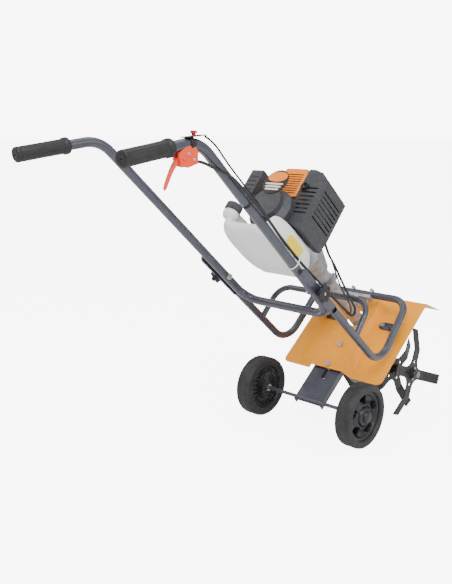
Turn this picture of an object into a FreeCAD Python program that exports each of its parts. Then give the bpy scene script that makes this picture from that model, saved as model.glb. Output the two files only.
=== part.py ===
import FreeCAD, Part
import math
import os
import re

import Sketcher
from FreeCAD import Placement, Rotation, Vector

# Two-wheeled garden tiller with a small two-stroke engine.
#
# Frame: X to the machine's right, Y forwards (towards the tines), Z up, millimetres.
# The origin is on the ground, midway between the wheels, under their axle.
#
# Drive frame: most of the machine is built square to the inclined drive line. Its x is the
# row's X, its y runs down the drive line and its z stands square to it. Its origin is the
# foot of the tine shaft on the drive line, where the worm meets its wheel.
# Engine frame: the drive frame moved back up the line to the cylinder's axis.
# Guard frame: y up the guard's rear panel from its lower edge, z square to the panel.

SIZES = {
    # wheels and their carriage
    "wheel_radius": 85, "wheel_width": 46, "wheel_track": 338, "wheel_rim": 66, "wheel_hub": 15,
    "axle_radius": 5, "running_gap": 0.05, "collar_length": 8, "collar_radius": 10,
    "bracket_width": 90, "bracket_length": 241, "bracket_flange": 18, "bracket_sheet": 2.5,
    "bracket_sink": 8, "bracket_overhang": 116, "slot_width": 12, "slot_start": 85, "slot_length": 152,
    # guard
    "guard_y": 94.3, "guard_z": 139.5, "guard_slope": 39, "guard_length": 294.5, "guard_width": 332,
    "flap_length": 85, "flap_fold": 60.6, "guard_sheet": 1.6, "hump_top": 106, "hump_base": 146,
    "hump_top_high": 80, "hump_base_high": 100, "guard_corner": 16,
    "hump_rise": 23, "hump_length": 262, "neck_hole": 27, "guard_bolt_pitch": 72, "guard_bolt_start": 12,
    # tines and gearbox
    "tine_y": 288, "tine_z": 125, "worm_distance": 67.3, "drive_tilt": 41.3,
    "tine_shaft_radius": 10, "tine_shaft_length": 342, "star_radius": 127.2, "blade_width": 30,
    "blade_sheet": 3, "blade_knee": 70, "blade_bend": 20, "outer_star_x": 150, "inner_star_x": 93.5,
    "spigot_radius": 9, "spigot_length": 8, "web_round": 26, "root_hole": 4.5, "root_hole_reach": 33,
    "outer_star_turn": 20, "inner_star_turn": 65, "hub_radius": 13.5, "hub_length": 24,
    "wheel_teeth": 32, "worm_pitch_radius": 12, "worm_core": 7.6, "worm_length": 52,
    "gear_width": 14, "case_radius": 68, "case_inner": 64, "case_half": 26, "case_half_inner": 21,
    "tunnel_radius": 24, "tunnel_inner": 19, "tunnel_start": 62, "tunnel_end": 50,
    "boss_radius": 26, "boss_half": 44, "bearing_radius": 19, "bearing_width": 12,
    # drive line
    "engine_distance": 602, "neck_radius": 20, "neck_bore": 12, "neck_end": 337, "socket_depth": 28,
    "drive_tube_radius": 14, "drive_tube_wall": 2.5, "shaft_radius": 5, "clamp_radius": 25,
    "pad_width": 84, "pad_length": 26, "pad_height": 58, "cross_bolt_x": 31.7,
    "housing_start": 51, "housing_radius": 47, "housing_straight": 92, "housing_cone": 56,
    "housing_tip": 29, "housing_boss": 36, "drum_radius": 40,
    # loop frame, drive frame coordinates
    "loop_x": 158.5, "loop_z": 141.3, "loop_front": 182, "loop_top": 68, "loop_top_x": 150,
    "loop_radius": 10, "loop_wall": 1.8, "loop_low_bend": 70, "loop_top_bend": 45,
    "strip_start": 644, "strip_end": 475, "strip_thick": 6, "strip_width": 24,
    "brace_radius": 8, "brace_wall": 1.5, "brace_foot_x": 155, "brace_top_x": 150, "brace_y": 338,
    "brace_top": 34, "brace_bend": 45,
    # handle
    "handle_radius": 11, "handle_wall": 1.6, "pivot_distance": 553, "handle_slope": 42.5,
    "handle_low_x": 139, "handle_low_reach": 78, "handle_low_bend": 50, "handle_top_x": 153,
    "handle_top_reach": 382, "handle_top_bend": 80, "grip_end_x": 167.6, "grip_reach": 196.6,
    "grip_drop": 28.4, "grip_length": 119, "grip_radius": 16,
    "knob_radius": 23, "knob_thick": 17, "knob_bolt_radius": 4,
    # engine covers and tank, engine frame coordinates
    "tank_half": 95, "tank_back": 120, "tank_front": 84, "tank_bottom": 103, "tank_top": 34,
    "tank_round": 27, "tank_saddle": 66, "tank_wall": 2.5, "cap_x": -70, "cap_back": 108,
    "cap_radius": 21, "cap_height": 21, "cap_foot": 44, "starter_nose_radius": 43,
    "cover_back": 49, "cover_front": 38, "cover_low": 56, "cover_high": 140, "cover_left": -41,
    "cover_right": 38, "cover_wall": 2, "shroud_right": 105, "shroud_front": 56, "shroud_low": -32,
    "shroud_gap": 0.6, "starter_radius": 58, "starter_depth": 45,
}

doc = FreeCAD.newDocument("tiller")
sheet = doc.addObject("Spreadsheet::Sheet", "dim")
for row, (size_name, size_value) in enumerate(SIZES.items(), start=1):
    sheet.set(f"A{row}", size_name)
    sheet.set(f"B{row}", str(size_value))
    sheet.setAlias(f"B{row}", size_name)
doc.recompute()
D = {size_name: float(sheet.get(size_name)) for size_name in SIZES}
NODES = []


def linked(text):
    """The same formula with each size name pointed at its cell in the sheet."""
    return re.sub(r"[a-z][a-z_]*[a-z]", lambda word: "dim." + word[0] if word[0] in SIZES else word[0], str(text))


def bind(thing, **formulas):
    for prop, text in formulas.items():
        thing.setExpression(prop, linked(text))
    return thing


def put(thing, x=0, y=0, z=0):
    for axis, text in (("x", x), ("y", y), ("z", z)):
        thing.setExpression("Placement.Base." + axis, linked(text))
    return thing


TURNS = {"z": Rotation(), "x": Rotation(Vector(0, 1, 0), 90), "y": Rotation(Vector(1, 0, 0), -90)}


def cylinder(name, radius, length, x=0, y=0, z=0, along="z"):
    """A cylinder from the point (x, y, z) along one axis of its frame."""
    thing = bind(doc.addObject("Part::Cylinder", name), Radius=radius, Height=length)
    thing.Placement.Rotation = TURNS[along]
    return put(thing, x, y, z)


def disc(name, radius, length, x=0, y=0, z=0, along="z"):
    """A cylinder centred on the point (x, y, z)."""
    middle = {"x": x, "y": y, "z": z}
    middle[along] = f"({middle[along]}) - ({length}) / 2"
    return cylinder(name, radius, length, along=along, **middle)


def cone(name, first, second, length, x=0, y=0, z=0, along="y"):
    thing = bind(doc.addObject("Part::Cone", name), Radius1=first, Radius2=second, Height=length)
    thing.Placement.Rotation = TURNS[along]
    return put(thing, x, y, z)


def box(name, dx, dy, dz, x=0, y=0, z=0):
    """A box centred on the point (x, y, z)."""
    thing = bind(doc.addObject("Part::Box", name), Length=dx, Width=dy, Height=dz)
    return put(thing, f"({x}) - ({dx}) / 2", f"({y}) - ({dy}) / 2", f"({z}) - ({dz}) / 2")


def span(name, x0, x1, y0, y1, z0, z1):
    """A box given by its limits."""
    thing = bind(doc.addObject("Part::Box", name), Length=f"({x1}) - ({x0})", Width=f"({y1}) - ({y0})",
                 Height=f"({z1}) - ({z0})")
    return put(thing, x0, y0, z0)


def cut(name, base, *tools):
    thing = doc.addObject("Part::Cut", name)
    thing.Base = base
    thing.Tool = tools[0] if len(tools) == 1 else fuse(name + "_tools", *tools)
    return thing


def fuse(name, *parts):
    thing = doc.addObject("Part::MultiFuse", name)
    thing.Shapes = list(parts)
    return thing


def common(name, first, second):
    thing = doc.addObject("Part::MultiCommon", name)
    thing.Shapes = [first, second]
    return thing


def group(name, *parts):
    thing = doc.addObject("Part::Compound", name)
    thing.Links = list(parts)
    return thing


def made(name, shape, place=None):
    """A shape made by Part's own functions, from sizes read off the sheet."""
    thing = doc.addObject("Part::Feature", name)
    thing.Shape = shape
    if place:
        thing.Placement = place.multiply(shape.Placement)
    return thing


def prism(name, plane, corners, length):
    """A sketched outline padded evenly to both sides of its plane; each corner is a pair of formulas."""
    body = doc.addObject("PartDesign::Body", name)
    sketch = body.newObject("Sketcher::SketchObject", name + "_outline")
    base = [f for f in body.Origin.OriginFeatures if f.Role == plane + "_Plane"][0]
    sketch.AttachmentSupport = [(base, "")]
    sketch.MapMode = "FlatFace"
    count = len(corners)
    ring = [Vector(10 * math.cos(2 * math.pi * i / count), 10 * math.sin(2 * math.pi * i / count), 0)
            for i in range(count)]
    for i in range(count):
        sketch.addGeometry(Part.LineSegment(ring[i], ring[(i + 1) % count]), False)
    for i in range(count):
        sketch.addConstraint(Sketcher.Constraint("Coincident", i, 2, (i + 1) % count, 1))
    for i, corner in enumerate(corners):
        for kind, place, text in (("DistanceX", ring[i].x, corner[0]), ("DistanceY", ring[i].y, corner[1])):
            index = sketch.addConstraint(Sketcher.Constraint(kind, -1, 1, i, 1, place))
            sketch.setExpression(f"Constraints[{index}]", linked(text))
    pad = body.newObject("PartDesign::Pad", name + "_pad")
    pad.Profile = sketch
    pad.Midplane = True
    bind(pad, Length=length)
    sketch.Visibility = False
    return body


def in_frame(thing, y, z, turn):
    """Turn a finished piece about X and move it to its frame's origin."""
    thing.Placement = Placement(Vector(0, 0, 0), Rotation(Vector(1, 0, 0), 10))
    thing.setExpression("Placement.Rotation.Angle", linked(turn))
    return put(thing, 0, y, z)


DRIVE_Y = "(tine_y + worm_distance * sin(drive_tilt * 1 deg))"
DRIVE_Z = "(tine_z + worm_distance * cos(drive_tilt * 1 deg))"
ENGINE_Y = f"({DRIVE_Y} - engine_distance * cos(drive_tilt * 1 deg))"
ENGINE_Z = f"({DRIVE_Z} + engine_distance * sin(drive_tilt * 1 deg))"


def drive_frame(thing):
    return in_frame(thing, DRIVE_Y, DRIVE_Z, "360 - drive_tilt")


def engine_frame(thing):
    return in_frame(thing, ENGINE_Y, ENGINE_Z, "360 - drive_tilt")


def guard_frame(thing):
    return in_frame(thing, "guard_y", "guard_z", "guard_slope")


TILT = math.radians(D["drive_tilt"])
DRIVE = Vector(0, D["tine_y"] + D["worm_distance"] * math.sin(TILT),
               D["tine_z"] + D["worm_distance"] * math.cos(TILT))


def on_drive(x, y, z):
    """A point of the drive frame in the row frame."""
    return DRIVE + Vector(x, y * math.cos(TILT) + z * math.sin(TILT), z * math.cos(TILT) - y * math.sin(TILT))


def on_engine(x, y, z):
    return on_drive(x, y - D["engine_distance"], z)


def node(thing, label):
    thing.Label = label
    NODES.append((label, thing))
    return thing


def rounded_route(points, radii):
    """Straight runs joined by tangent arcs, one radius for each inner point."""
    edges = []
    start = points[0]
    for before, corner, after, radius in zip(points, points[1:], points[2:], radii):
        back = (before - corner).normalize()
        ahead = (after - corner).normalize()
        half = back.getAngle(ahead) / 2
        reach = radius / math.tan(half)
        middle = (back + ahead).normalize()
        first = corner + back * reach
        last = corner + ahead * reach
        crest = corner + middle * (radius / math.sin(half) - radius)
        if (first - start).Length > 0.01:
            edges.append(Part.LineSegment(start, first).toShape())
        edges.append(Part.Arc(first, crest, last).toShape())
        start = last
    edges.append(Part.LineSegment(start, points[-1]).toShape())
    return Part.Wire(edges)


def rod(route, radius):
    """A round rod along a route."""
    heading = route.Edges[0].tangentAt(route.Edges[0].FirstParameter)
    section = Part.Wire([Part.makeCircle(radius, route.Edges[0].valueAt(route.Edges[0].FirstParameter), heading)])
    return route.makePipeShell([section], True, False)


def tube(route, radius, wall):
    return rod(route, radius).cut(rod(route, radius - wall))


def cord_route(points):
    """A cord's arcs: each as large as its two runs allow."""
    radii = []
    for before, corner, after in zip(points, points[1:], points[2:]):
        turn = math.pi - (before - corner).getAngle(after - corner)
        shorter = min((before - corner).Length, (after - corner).Length)
        radii.append(0.45 * shorter / math.tan(turn / 2))
    print("cord radii", [round(r, 1) for r in radii])
    return rounded_route(points, radii)


def mirrored(points):
    """A left-right symmetric route from its right-hand half."""
    return points + [Vector(-p.x, p.y, p.z) for p in reversed(points)]


# ---------------------------------------------------------------- wheels and carriage

def wheel(label, side):
    """Moulded wheel: a tread ring, a web near its outer face with spokes, thin ribs inside."""
    name = label
    half = "wheel_width / 2"
    at = f"{side} * wheel_track / 2"
    tread = cylinder(name + "_tread", "wheel_radius", "wheel_width - 8", f"{at} - {half} + 4", 0, "wheel_radius", "x")
    inner_bevel = cone(name + "_bevel_a", "wheel_radius - 5", "wheel_radius", 4, f"{at} - {half}", 0,
                       "wheel_radius", "x")
    outer_bevel = cone(name + "_bevel_b", "wheel_radius", "wheel_radius - 5", 4, f"{at} + {half} - 4", 0,
                       "wheel_radius", "x")
    blank = fuse(name + "_blank", tread, inner_bevel, outer_bevel)
    web = f"{at} + {side} * (wheel_width / 2 - 10)"
    inside = disc(name + "_inside", "wheel_rim", "wheel_width - 12", f"{at} - {side} * 8", 0, "wheel_radius", "x")
    dish = disc(name + "_dish", "wheel_rim", 6, f"{at} + {side} * ({half} - 1)", 0, "wheel_radius", "x")
    barrel = disc(name + "_barrel", "wheel_hub", "wheel_width - 4", at, 0, "wheel_radius", "x")
    ribs = []
    for i in range(20):
        rib = box(f"{name}_rib_{i}", "wheel_width - 16", "wheel_rim - wheel_hub + 4", 1.6, 0, 0, 0)
        rib.setExpression("Placement.Base.z", "-0.8")
        rib.Placement.Rotation = Rotation()
        radial = group(f"{name}_rib_at_{i}", rib)
        angle = 2 * math.pi * i / 20
        radial.Placement.Rotation = Rotation(Vector(1, 0, 0), math.degrees(angle))
        reach = "(wheel_rim + wheel_hub) / 2"
        put(radial, f"{at} - {side} * 8", f"{reach} * {math.cos(angle):.6f}",
            f"wheel_radius + {reach} * {math.sin(angle):.6f}")
        ribs.append(radial)
    windows = []
    for i in range(5):
        angle = 2 * math.pi * (i + 0.5) / 5
        windows.append(disc(f"{name}_window_{i}", "(wheel_rim - wheel_hub) / 2 - 7", 30, web,
                            f"(wheel_rim + wheel_hub) / 2 * {math.cos(angle):.6f}",
                            f"wheel_radius + (wheel_rim + wheel_hub) / 2 * {math.sin(angle):.6f}", "x"))
    shell = cut(name + "_shell", blank, inside, dish, *windows)
    ribbed = fuse(name + "_ribbed", shell, barrel, *ribs)
    bore = disc(name + "_bore", "axle_radius + running_gap", "wheel_width + 10", at, 0, "wheel_radius", "x")
    return node(cut(name, ribbed, bore), label)


wheel("left_wheel", -1)
wheel("right_wheel", 1)
node(disc("axle", "axle_radius", "wheel_track + wheel_width + 8", 0, 0, "wheel_radius", "x"), "axle")

COLLAR_PLACES = {
    "left_inner": "-(wheel_track / 2 - wheel_width / 2 - collar_length / 2 + 1)",
    "left_outer": "-(wheel_track / 2 + wheel_width / 2)",
    "right_inner": "wheel_track / 2 - wheel_width / 2 - collar_length / 2 + 1",
    "right_outer": "wheel_track / 2 + wheel_width / 2",
}
collars = []
for place, middle in COLLAR_PLACES.items():
    length = "collar_length" if "inner" in place else 3
    ring = disc("collar_" + place, "collar_radius", length, middle, 0, "wheel_radius", "x")
    hole = disc("collar_hole_" + place, "axle_radius", "collar_length + 4", middle, 0, "wheel_radius", "x")
    collars.append(cut("collar_ring_" + place, ring, hole))
node(group("axle_collars", *collars), "axle_collars")

# The carriage channel slides under the guard's hump; its axle end reaches back past the guard.
LOW = "(0 - bracket_overhang)"
web_plate = span("bracket_web", "-bracket_width / 2", "bracket_width / 2", LOW, f"{LOW} + bracket_length",
                 "hump_rise - bracket_sink - bracket_sheet", "hump_rise - bracket_sink")
flanges = [
    span(f"bracket_flange_{i}", f"{side} * bracket_width / 2 - bracket_sheet * {shift}",
         f"{side} * bracket_width / 2 + bracket_sheet * (1 - {shift})", LOW, f"{LOW} + bracket_length",
         "hump_rise - bracket_sink - bracket_flange", "hump_rise - bracket_sink")
    for i, (side, shift) in enumerate(((-1, 0), (1, 1)))
]
slot = span("bracket_slot", "-slot_width / 2", "slot_width / 2", f"{LOW} + slot_start",
            f"{LOW} + slot_start + slot_length", "-5", "hump_rise + 5")
channel = guard_frame(cut("bracket_channel", fuse("bracket_blank", web_plate, *flanges), slot))
axle_hole = disc("bracket_axle_hole", "axle_radius", "bracket_width + 10", 0, 0, "wheel_radius", "x")
node(cut("wheel_bracket", channel, axle_hole), "wheel_bracket")

# ---------------------------------------------------------------- guard

panel = prism("guard_panel", "YZ", [
    ("0", "0"),
    ("guard_length", "0"),
    ("guard_length + flap_length * cos(flap_fold * 1 deg)", "-flap_length * sin(flap_fold * 1 deg)"),
    ("guard_length + flap_length * cos(flap_fold * 1 deg) - guard_sheet * sin(flap_fold * 1 deg)",
     "-flap_length * sin(flap_fold * 1 deg) - guard_sheet * cos(flap_fold * 1 deg)"),
    ("guard_length - guard_sheet * tan(flap_fold / 2 * 1 deg)", "-guard_sheet"),
    ("0", "-guard_sheet"),
], "guard_width")


def hump(name, inset, low, high):
    """The hump's solid between two outlines, narrower up the slope; inset makes the inner one."""
    rings = []
    for along, base, top in ((low, D["hump_base"] / 2, D["hump_top"] / 2),
                             (high, D["hump_base_high"] / 2, D["hump_top_high"] / 2)):
        base -= inset * 1.3
        top -= inset * 0.7
        floor = -D["guard_sheet"] - (1 if inset else 0)
        crest = D["hump_rise"] - inset
        ring = [Vector(-base, along, floor), Vector(base, along, floor), Vector(top, along, crest),
                Vector(-top, along, crest)]
        rings.append(Part.makePolygon(ring + ring[:1]))
    return made(name, Part.makeLoft(rings, True, True))


hump_outer = hump("hump_outer", 0, 0, D["hump_length"])
hump_inner = hump("hump_inner", D["guard_sheet"], -1, D["hump_length"] - D["guard_sheet"])
guard_holes = [
    cylinder(f"guard_hole_{i}", 4.1, 60, 0, f"guard_bolt_start + {i} * guard_bolt_pitch", "-10")
    for i in range(2)
] + [cylinder(f"tab_hole_{i}", 4.1, 20, side * 78, 190, "-10") for i, side in enumerate((-1, 1))]
corner_cuts = [
    cut(f"corner_cut_{i}",
        span(f"corner_block_{i}", f"{side} * (guard_width / 2 - 7.5) - 8.5",
             f"{side} * (guard_width / 2 - 7.5) + 8.5", -1, "guard_corner", -6, 6),
        cylinder(f"corner_round_{i}", "guard_corner", 20, f"{side} * (guard_width / 2 - guard_corner)",
                 "guard_corner", -10))
    for i, side in enumerate((-1, 1))
]
guard_sheets = fuse("guard_sheets", panel, hump_outer)
guard_blank = guard_frame(cut("guard_blank", guard_sheets, hump_inner, *guard_holes, *corner_cuts))
neck_hole = drive_frame(group("guard_neck_hole", cylinder("guard_neck_cut", "neck_hole", 200, 0, -250, 0, "y")))
node(cut("tine_guard", guard_blank, neck_hole), "tine_guard")

guard_bolts = []
for i in range(2):
    along = f"guard_bolt_start + {i} * guard_bolt_pitch"
    guard_bolts += [
        fuse(f"guard_bolt_{i}",
             cylinder(f"guard_bolt_stud_{i}", 4, 30, 0, along, "hump_rise - 26"),
             cylinder(f"guard_bolt_head_{i}", 8, 5, 0, along, "hump_rise"),
             cylinder(f"guard_bolt_nut_{i}", 8, 6, 0, along,
                      "hump_rise - bracket_sink - bracket_sheet - 6.3"),
             cylinder(f"guard_bolt_spacer_{i}", 7, "bracket_sink - guard_sheet - 0.04", 0, along,
                      "hump_rise - bracket_sink + 0.02")),
    ]
node(guard_frame(group("guard_bolts", *guard_bolts)), "guard_bolts")

# ---------------------------------------------------------------- tines, on the tine shaft

def star(label, at, turn, side):
    """Four-bladed star: opposite blades bend the same way, neighbours bend opposite ways.
    Each blade has a hole near its root, and a web with a hollow edge fills each corner."""
    sheet_half = D["blade_sheet"] / 2
    half = D["blade_width"] / 2
    knee = D["blade_knee"]
    tip = D["star_radius"]
    hub_end = Vector(-D["hub_length"] / 2, 0, 0)
    shape = Part.makeCylinder(D["hub_radius"], D["hub_length"], hub_end, Vector(1, 0, 0))
    for i in range(4):
        lean = math.tan(math.radians(D["blade_bend"])) * (1 if i % 2 else -1)
        shift = lean * (tip - knee)
        flat = Part.makeBox(2 * sheet_half, 2 * half, knee, Vector(-sheet_half, -half, 0))
        web = Part.makeBox(2 * sheet_half, D["web_round"], D["web_round"], Vector(-sheet_half, half, half))
        web = web.cut(Part.makeCylinder(D["web_round"], 4 * sheet_half,
                                        Vector(-2 * sheet_half, half + D["web_round"], half + D["web_round"]),
                                        Vector(1, 0, 0)))
        root_hole = Part.makeCylinder(D["root_hole"], 4 * sheet_half,
                                      Vector(-2 * sheet_half, 0, D["root_hole_reach"]), Vector(1, 0, 0))
        outer = [Vector(-sheet_half, -half, knee), Vector(sheet_half, -half, knee),
                 Vector(sheet_half + shift, -half, tip), Vector(-sheet_half + shift, -half, tip)]
        bent = Part.Face(Part.makePolygon(outer + outer[:1])).extrude(Vector(0, 2 * half, 0))
        blade = flat.fuse([bent, web]).cut(root_hole)
        blade.rotate(Vector(0, 0, 0), Vector(1, 0, 0), -90 * i)
        shape = shape.fuse(blade)
    hole = Part.makeCylinder(D["tine_shaft_radius"] + 0.02, D["hub_length"] + 2,
                             Vector(-D["hub_length"] / 2 - 1, 0, 0), Vector(1, 0, 0))
    pin_hole = Part.makeCylinder(3.05, 60, Vector(side * D["hub_length"] / 4, 0, -30), Vector(0, 0, 1))
    shape = shape.cut(hole).cut(pin_hole).removeSplitter()
    shape.rotate(Vector(0, 0, 0), Vector(1, 0, 0), -turn)
    return node(made(label, shape, Placement(Vector(at, D["tine_y"], D["tine_z"]), Rotation())), label)


STARS = [("outer_left_star", -D["outer_star_x"], D["outer_star_turn"], -1),
         ("inner_left_star", -D["inner_star_x"], D["inner_star_turn"], -1),
         ("inner_right_star", D["inner_star_x"], D["inner_star_turn"], 1),
         ("outer_right_star", D["outer_star_x"], D["outer_star_turn"], 1)]
pins = []
pin_holes = []
for label, at, turn, side in STARS:
    star(label, at, turn, side)
    pin_at = Vector(at + side * D["hub_length"] / 4, D["tine_y"], D["tine_z"])
    heading = Vector(0, math.sin(math.radians(turn)), math.cos(math.radians(turn)))
    pins.append(Part.makeCylinder(3, 38, pin_at - heading * 19, heading))
    pin_holes.append(Part.makeCylinder(3.0, 40, pin_at - heading * 20, heading))
node(made("tine_pins", Part.makeCompound(pins)), "tine_pins")
# The shaft's last 8 mm at each end is turned down to a spigot.
shaft_middle = disc("tine_shaft_middle", "tine_shaft_radius", "tine_shaft_length - 2 * spigot_length",
                    0, "tine_y", "tine_z", "x")
shaft_spigots = disc("tine_shaft_spigots", "spigot_radius", "tine_shaft_length", 0, "tine_y", "tine_z", "x")
shaft_bar = fuse("tine_shaft_bar", shaft_middle, shaft_spigots)
node(cut("tine_shaft", shaft_bar, made("tine_shaft_holes", Part.makeCompound(pin_holes))), "tine_shaft")

# ---------------------------------------------------------------- worm gear

PITCH_RADIUS = D["worm_distance"] - D["worm_pitch_radius"]
MODULE = 2 * PITCH_RADIUS / D["wheel_teeth"]
LEAD = math.pi * MODULE


def worm_wheel():
    """Straight teeth set across the rim at the worm's lead angle, with room for the thread."""
    root = PITCH_RADIUS - 1.15 * MODULE
    tip = PITCH_RADIUS + 0.85 * MODULE
    width = D["gear_width"]
    lead_angle = math.atan(LEAD / (2 * math.pi * D["worm_pitch_radius"]))
    shape = Part.makeCylinder(root, width, Vector(-width / 2, 0, 0), Vector(1, 0, 0))
    hub = Part.makeCylinder(19, 30, Vector(-15, 0, 0), Vector(1, 0, 0))
    foot = 0.27 * LEAD
    crest = 0.14 * LEAD
    teeth = []
    for i in range(int(D["wheel_teeth"])):
        outline = [Vector(0, -foot, root - 1), Vector(0, foot, root - 1), Vector(0, crest, tip),
                   Vector(0, -crest, tip)]
        tooth = Part.Face(Part.makePolygon(outline + outline[:1])).extrude(Vector(width, 0, 0))
        tooth.translate(Vector(-width / 2, 0, 0))
        tooth.rotate(Vector(0, 0, 0), Vector(0, 0, 1), -math.degrees(lead_angle))
        tooth.rotate(Vector(0, 0, 0), Vector(1, 0, 0), 360 * i / D["wheel_teeth"])
        teeth.append(tooth)
    shape = shape.fuse([hub] + teeth)
    shape = shape.cut(Part.makeCylinder(D["tine_shaft_radius"], 40, Vector(-20, 0, 0), Vector(1, 0, 0)))
    place = Placement(Vector(0, D["tine_y"], D["tine_z"]), Rotation(Vector(1, 0, 0), -D["drive_tilt"]))
    return node(made("worm_wheel", shape.removeSplitter(), place), "worm_wheel")


def worm_shaft():
    """The long drive shaft and the single-start worm cut on its end."""
    half = D["worm_length"] / 2
    crest = D["worm_pitch_radius"] + 0.85 * MODULE
    core = D["worm_core"]
    helix = Part.makeHelix(LEAD, D["worm_length"] - 2 * LEAD * 0.5, core, 0)
    foot = 0.26 * LEAD
    top = 0.13 * LEAD
    outline = [Vector(core - 0.8, 0, -foot), Vector(crest, 0, -top), Vector(crest, 0, top),
               Vector(core - 0.8, 0, foot)]
    thread = Part.Wire(helix.Edges).makePipeShell([Part.makePolygon(outline + outline[:1])], True, True)
    bar = Part.makeCylinder(core, D["worm_length"], Vector(0, 0, -LEAD * 0.5))
    worm = bar.fuse(thread)
    worm.translate(Vector(0, 0, LEAD * 0.5 - half))
    long_end = D["engine_distance"] - D["housing_start"] - D["housing_straight"] / 2 + 8
    bar_back = Part.makeCylinder(D["shaft_radius"], long_end, Vector(0, 0, -long_end))
    bar_front = Part.makeCylinder(D["shaft_radius"], D["tunnel_end"] - 5, Vector(0, 0, 0))
    shape = worm.fuse([bar_back, bar_front])
    shape.rotate(Vector(0, 0, 0), Vector(0, 0, 1), WORM_PHASE)
    shape.rotate(Vector(0, 0, 0), Vector(1, 0, 0), -90)
    place = Placement(DRIVE, Rotation(Vector(1, 0, 0), -D["drive_tilt"]))
    return node(made("worm_shaft", shape, place), "worm_shaft")


# The thread's angle at which a gap of the worm faces the wheel's tooth at the foot of the drive line.
WORM_PHASE = -90 - 360 * (D["worm_length"] / 2 - LEAD * 0.5) / LEAD
worm_wheel()
worm_shaft()

# ---------------------------------------------------------------- gearbox casing and bearings

case_disc = disc("case_disc", "case_radius", "case_half * 2", 0, 0, "-worm_distance", "x")
case_boss = disc("case_boss", "boss_radius", "boss_half * 2", 0, 0, "-worm_distance", "x")
case_tunnel = cylinder("case_tunnel", "tunnel_radius", "tunnel_start + tunnel_end", 0, "-tunnel_start", 0, "y")
case_solid = fuse("case_solid", case_disc, case_boss, case_tunnel)
case_room = disc("case_room", "case_inner", "case_half_inner * 2", 0, 0, "-worm_distance", "x")
tunnel_room = cylinder("tunnel_room", "tunnel_inner", "tunnel_start + tunnel_end - 4", 0, "-tunnel_start", 0, "y")
shaft_room = disc("shaft_room", "tine_shaft_radius + 0.5", 200, 0, 0, "-worm_distance", "x")
bearing_rooms = [
    disc(f"bearing_room_{i}", "bearing_radius", "bearing_width + 2", f"{side} * (boss_half - bearing_width / 2)",
         0, "-worm_distance", "x")
    for i, side in enumerate((-1, 1))
]
casing = cut("casing", case_solid, case_room, tunnel_room, shaft_room, *bearing_rooms)
for label, side in (("left_gear_case", -1), ("right_gear_case", 1)):
    keep = box(label + "_half", 200, 400, 400, f"{side} * 100", 0, 0)
    node(drive_frame(common(label, casing, keep)), label)

bearings = []
for i, side in enumerate((-1, 1)):
    outer = disc(f"bearing_{i}", "bearing_radius - 0.02", "bearing_width",
                 f"{side} * (boss_half - bearing_width / 2)", 0, "-worm_distance", "x")
    inner = disc(f"bearing_bore_{i}", "tine_shaft_radius + running_gap", 30,
                 f"{side} * (boss_half - bearing_width / 2)", 0, "-worm_distance", "x")
    bearings.append(cut(f"bearing_ring_{i}", outer, inner))
for i, at in enumerate(("-tunnel_start + 8", "tunnel_end - 11")):
    outer = disc(f"worm_bearing_{i}", "tunnel_inner - 0.02", 10, 0, at, 0, "y")
    inner = disc(f"worm_bearing_bore_{i}", "shaft_radius + running_gap", 20, 0, at, 0, "y")
    bearings.append(cut(f"worm_bearing_ring_{i}", outer, inner))
node(drive_frame(group("gear_bearings", *bearings)), "gear_bearings")

# ---------------------------------------------------------------- drive neck, tube and clutch housing

neck_bar = cylinder("neck_bar", "neck_radius", "neck_end - tunnel_start", 0, "-neck_end", 0, "y")
neck_flange = cylinder("neck_flange", "tunnel_radius + 8", 8, 0, "-tunnel_start - 8.05", 0, "y")
pad = box("neck_pad", "pad_width", "pad_length", 9, 0, "-loop_front", "pad_height - 4.5")
rib = span("neck_rib", -7, 7, "-loop_front - pad_length / 2", "-loop_front + pad_length / 2", 10, "pad_height - 4")
neck_blank = fuse("neck_blank", neck_bar, neck_flange, pad, rib)
neck_bores = [
    cylinder("neck_core", "neck_bore", 400, 0, "-neck_end - 5", 0, "y"),
    cylinder("neck_socket", "drive_tube_radius + 0.05", "socket_depth + 5", 0, "-neck_end - 5", 0, "y"),
    cylinder("neck_end_cut", "neck_radius + 20", 60, 0, "-tunnel_start", 0, "y"),
] + [cylinder(f"pad_hole_{i}", 4.05, 20, f"{side} * cross_bolt_x", "-loop_front", "pad_height - 15")
     for i, side in enumerate((-1, 1))]
node(drive_frame(cut("drive_neck", neck_blank, *neck_bores)), "drive_neck")

clamp_ring = cut("clamp_ring", cylinder("clamp_outer", "clamp_radius - 1", 14, 0, "-neck_end - 15", 0, "y"),
                 cylinder("clamp_inner", "drive_tube_radius + 0.05", 30, 0, "-neck_end - 20", 0, "y"))
node(drive_frame(cut("tube_clamp", fuse("clamp_blank", clamp_ring,
                                        box("clamp_ear", 12, 14, 12, 14, "-neck_end - 8", 20)),
                     cylinder("clamp_screw_hole", 3, 40, 0, "-neck_end - 8", 21, "x"),
                     box("clamp_slit", 2, 30, 20, 14, "-neck_end - 8", 22),
                     cylinder("clamp_core", "drive_tube_radius + 0.05", 40, 0, "-neck_end - 25", 0, "y"))),
     "tube_clamp")

TUBE_FROM = "(-engine_distance + housing_start + housing_straight)"
tube_bar = cylinder("drive_tube_bar", "drive_tube_radius", f"-neck_end + socket_depth - {TUBE_FROM} - 0.1", 0,
                    TUBE_FROM, 0, "y")
tube_core = cylinder("drive_tube_core", "drive_tube_radius - drive_tube_wall", 500, 0, f"{TUBE_FROM} - 5", 0, "y")
node(drive_frame(cut("drive_tube", tube_bar, tube_core)), "drive_tube")

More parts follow.
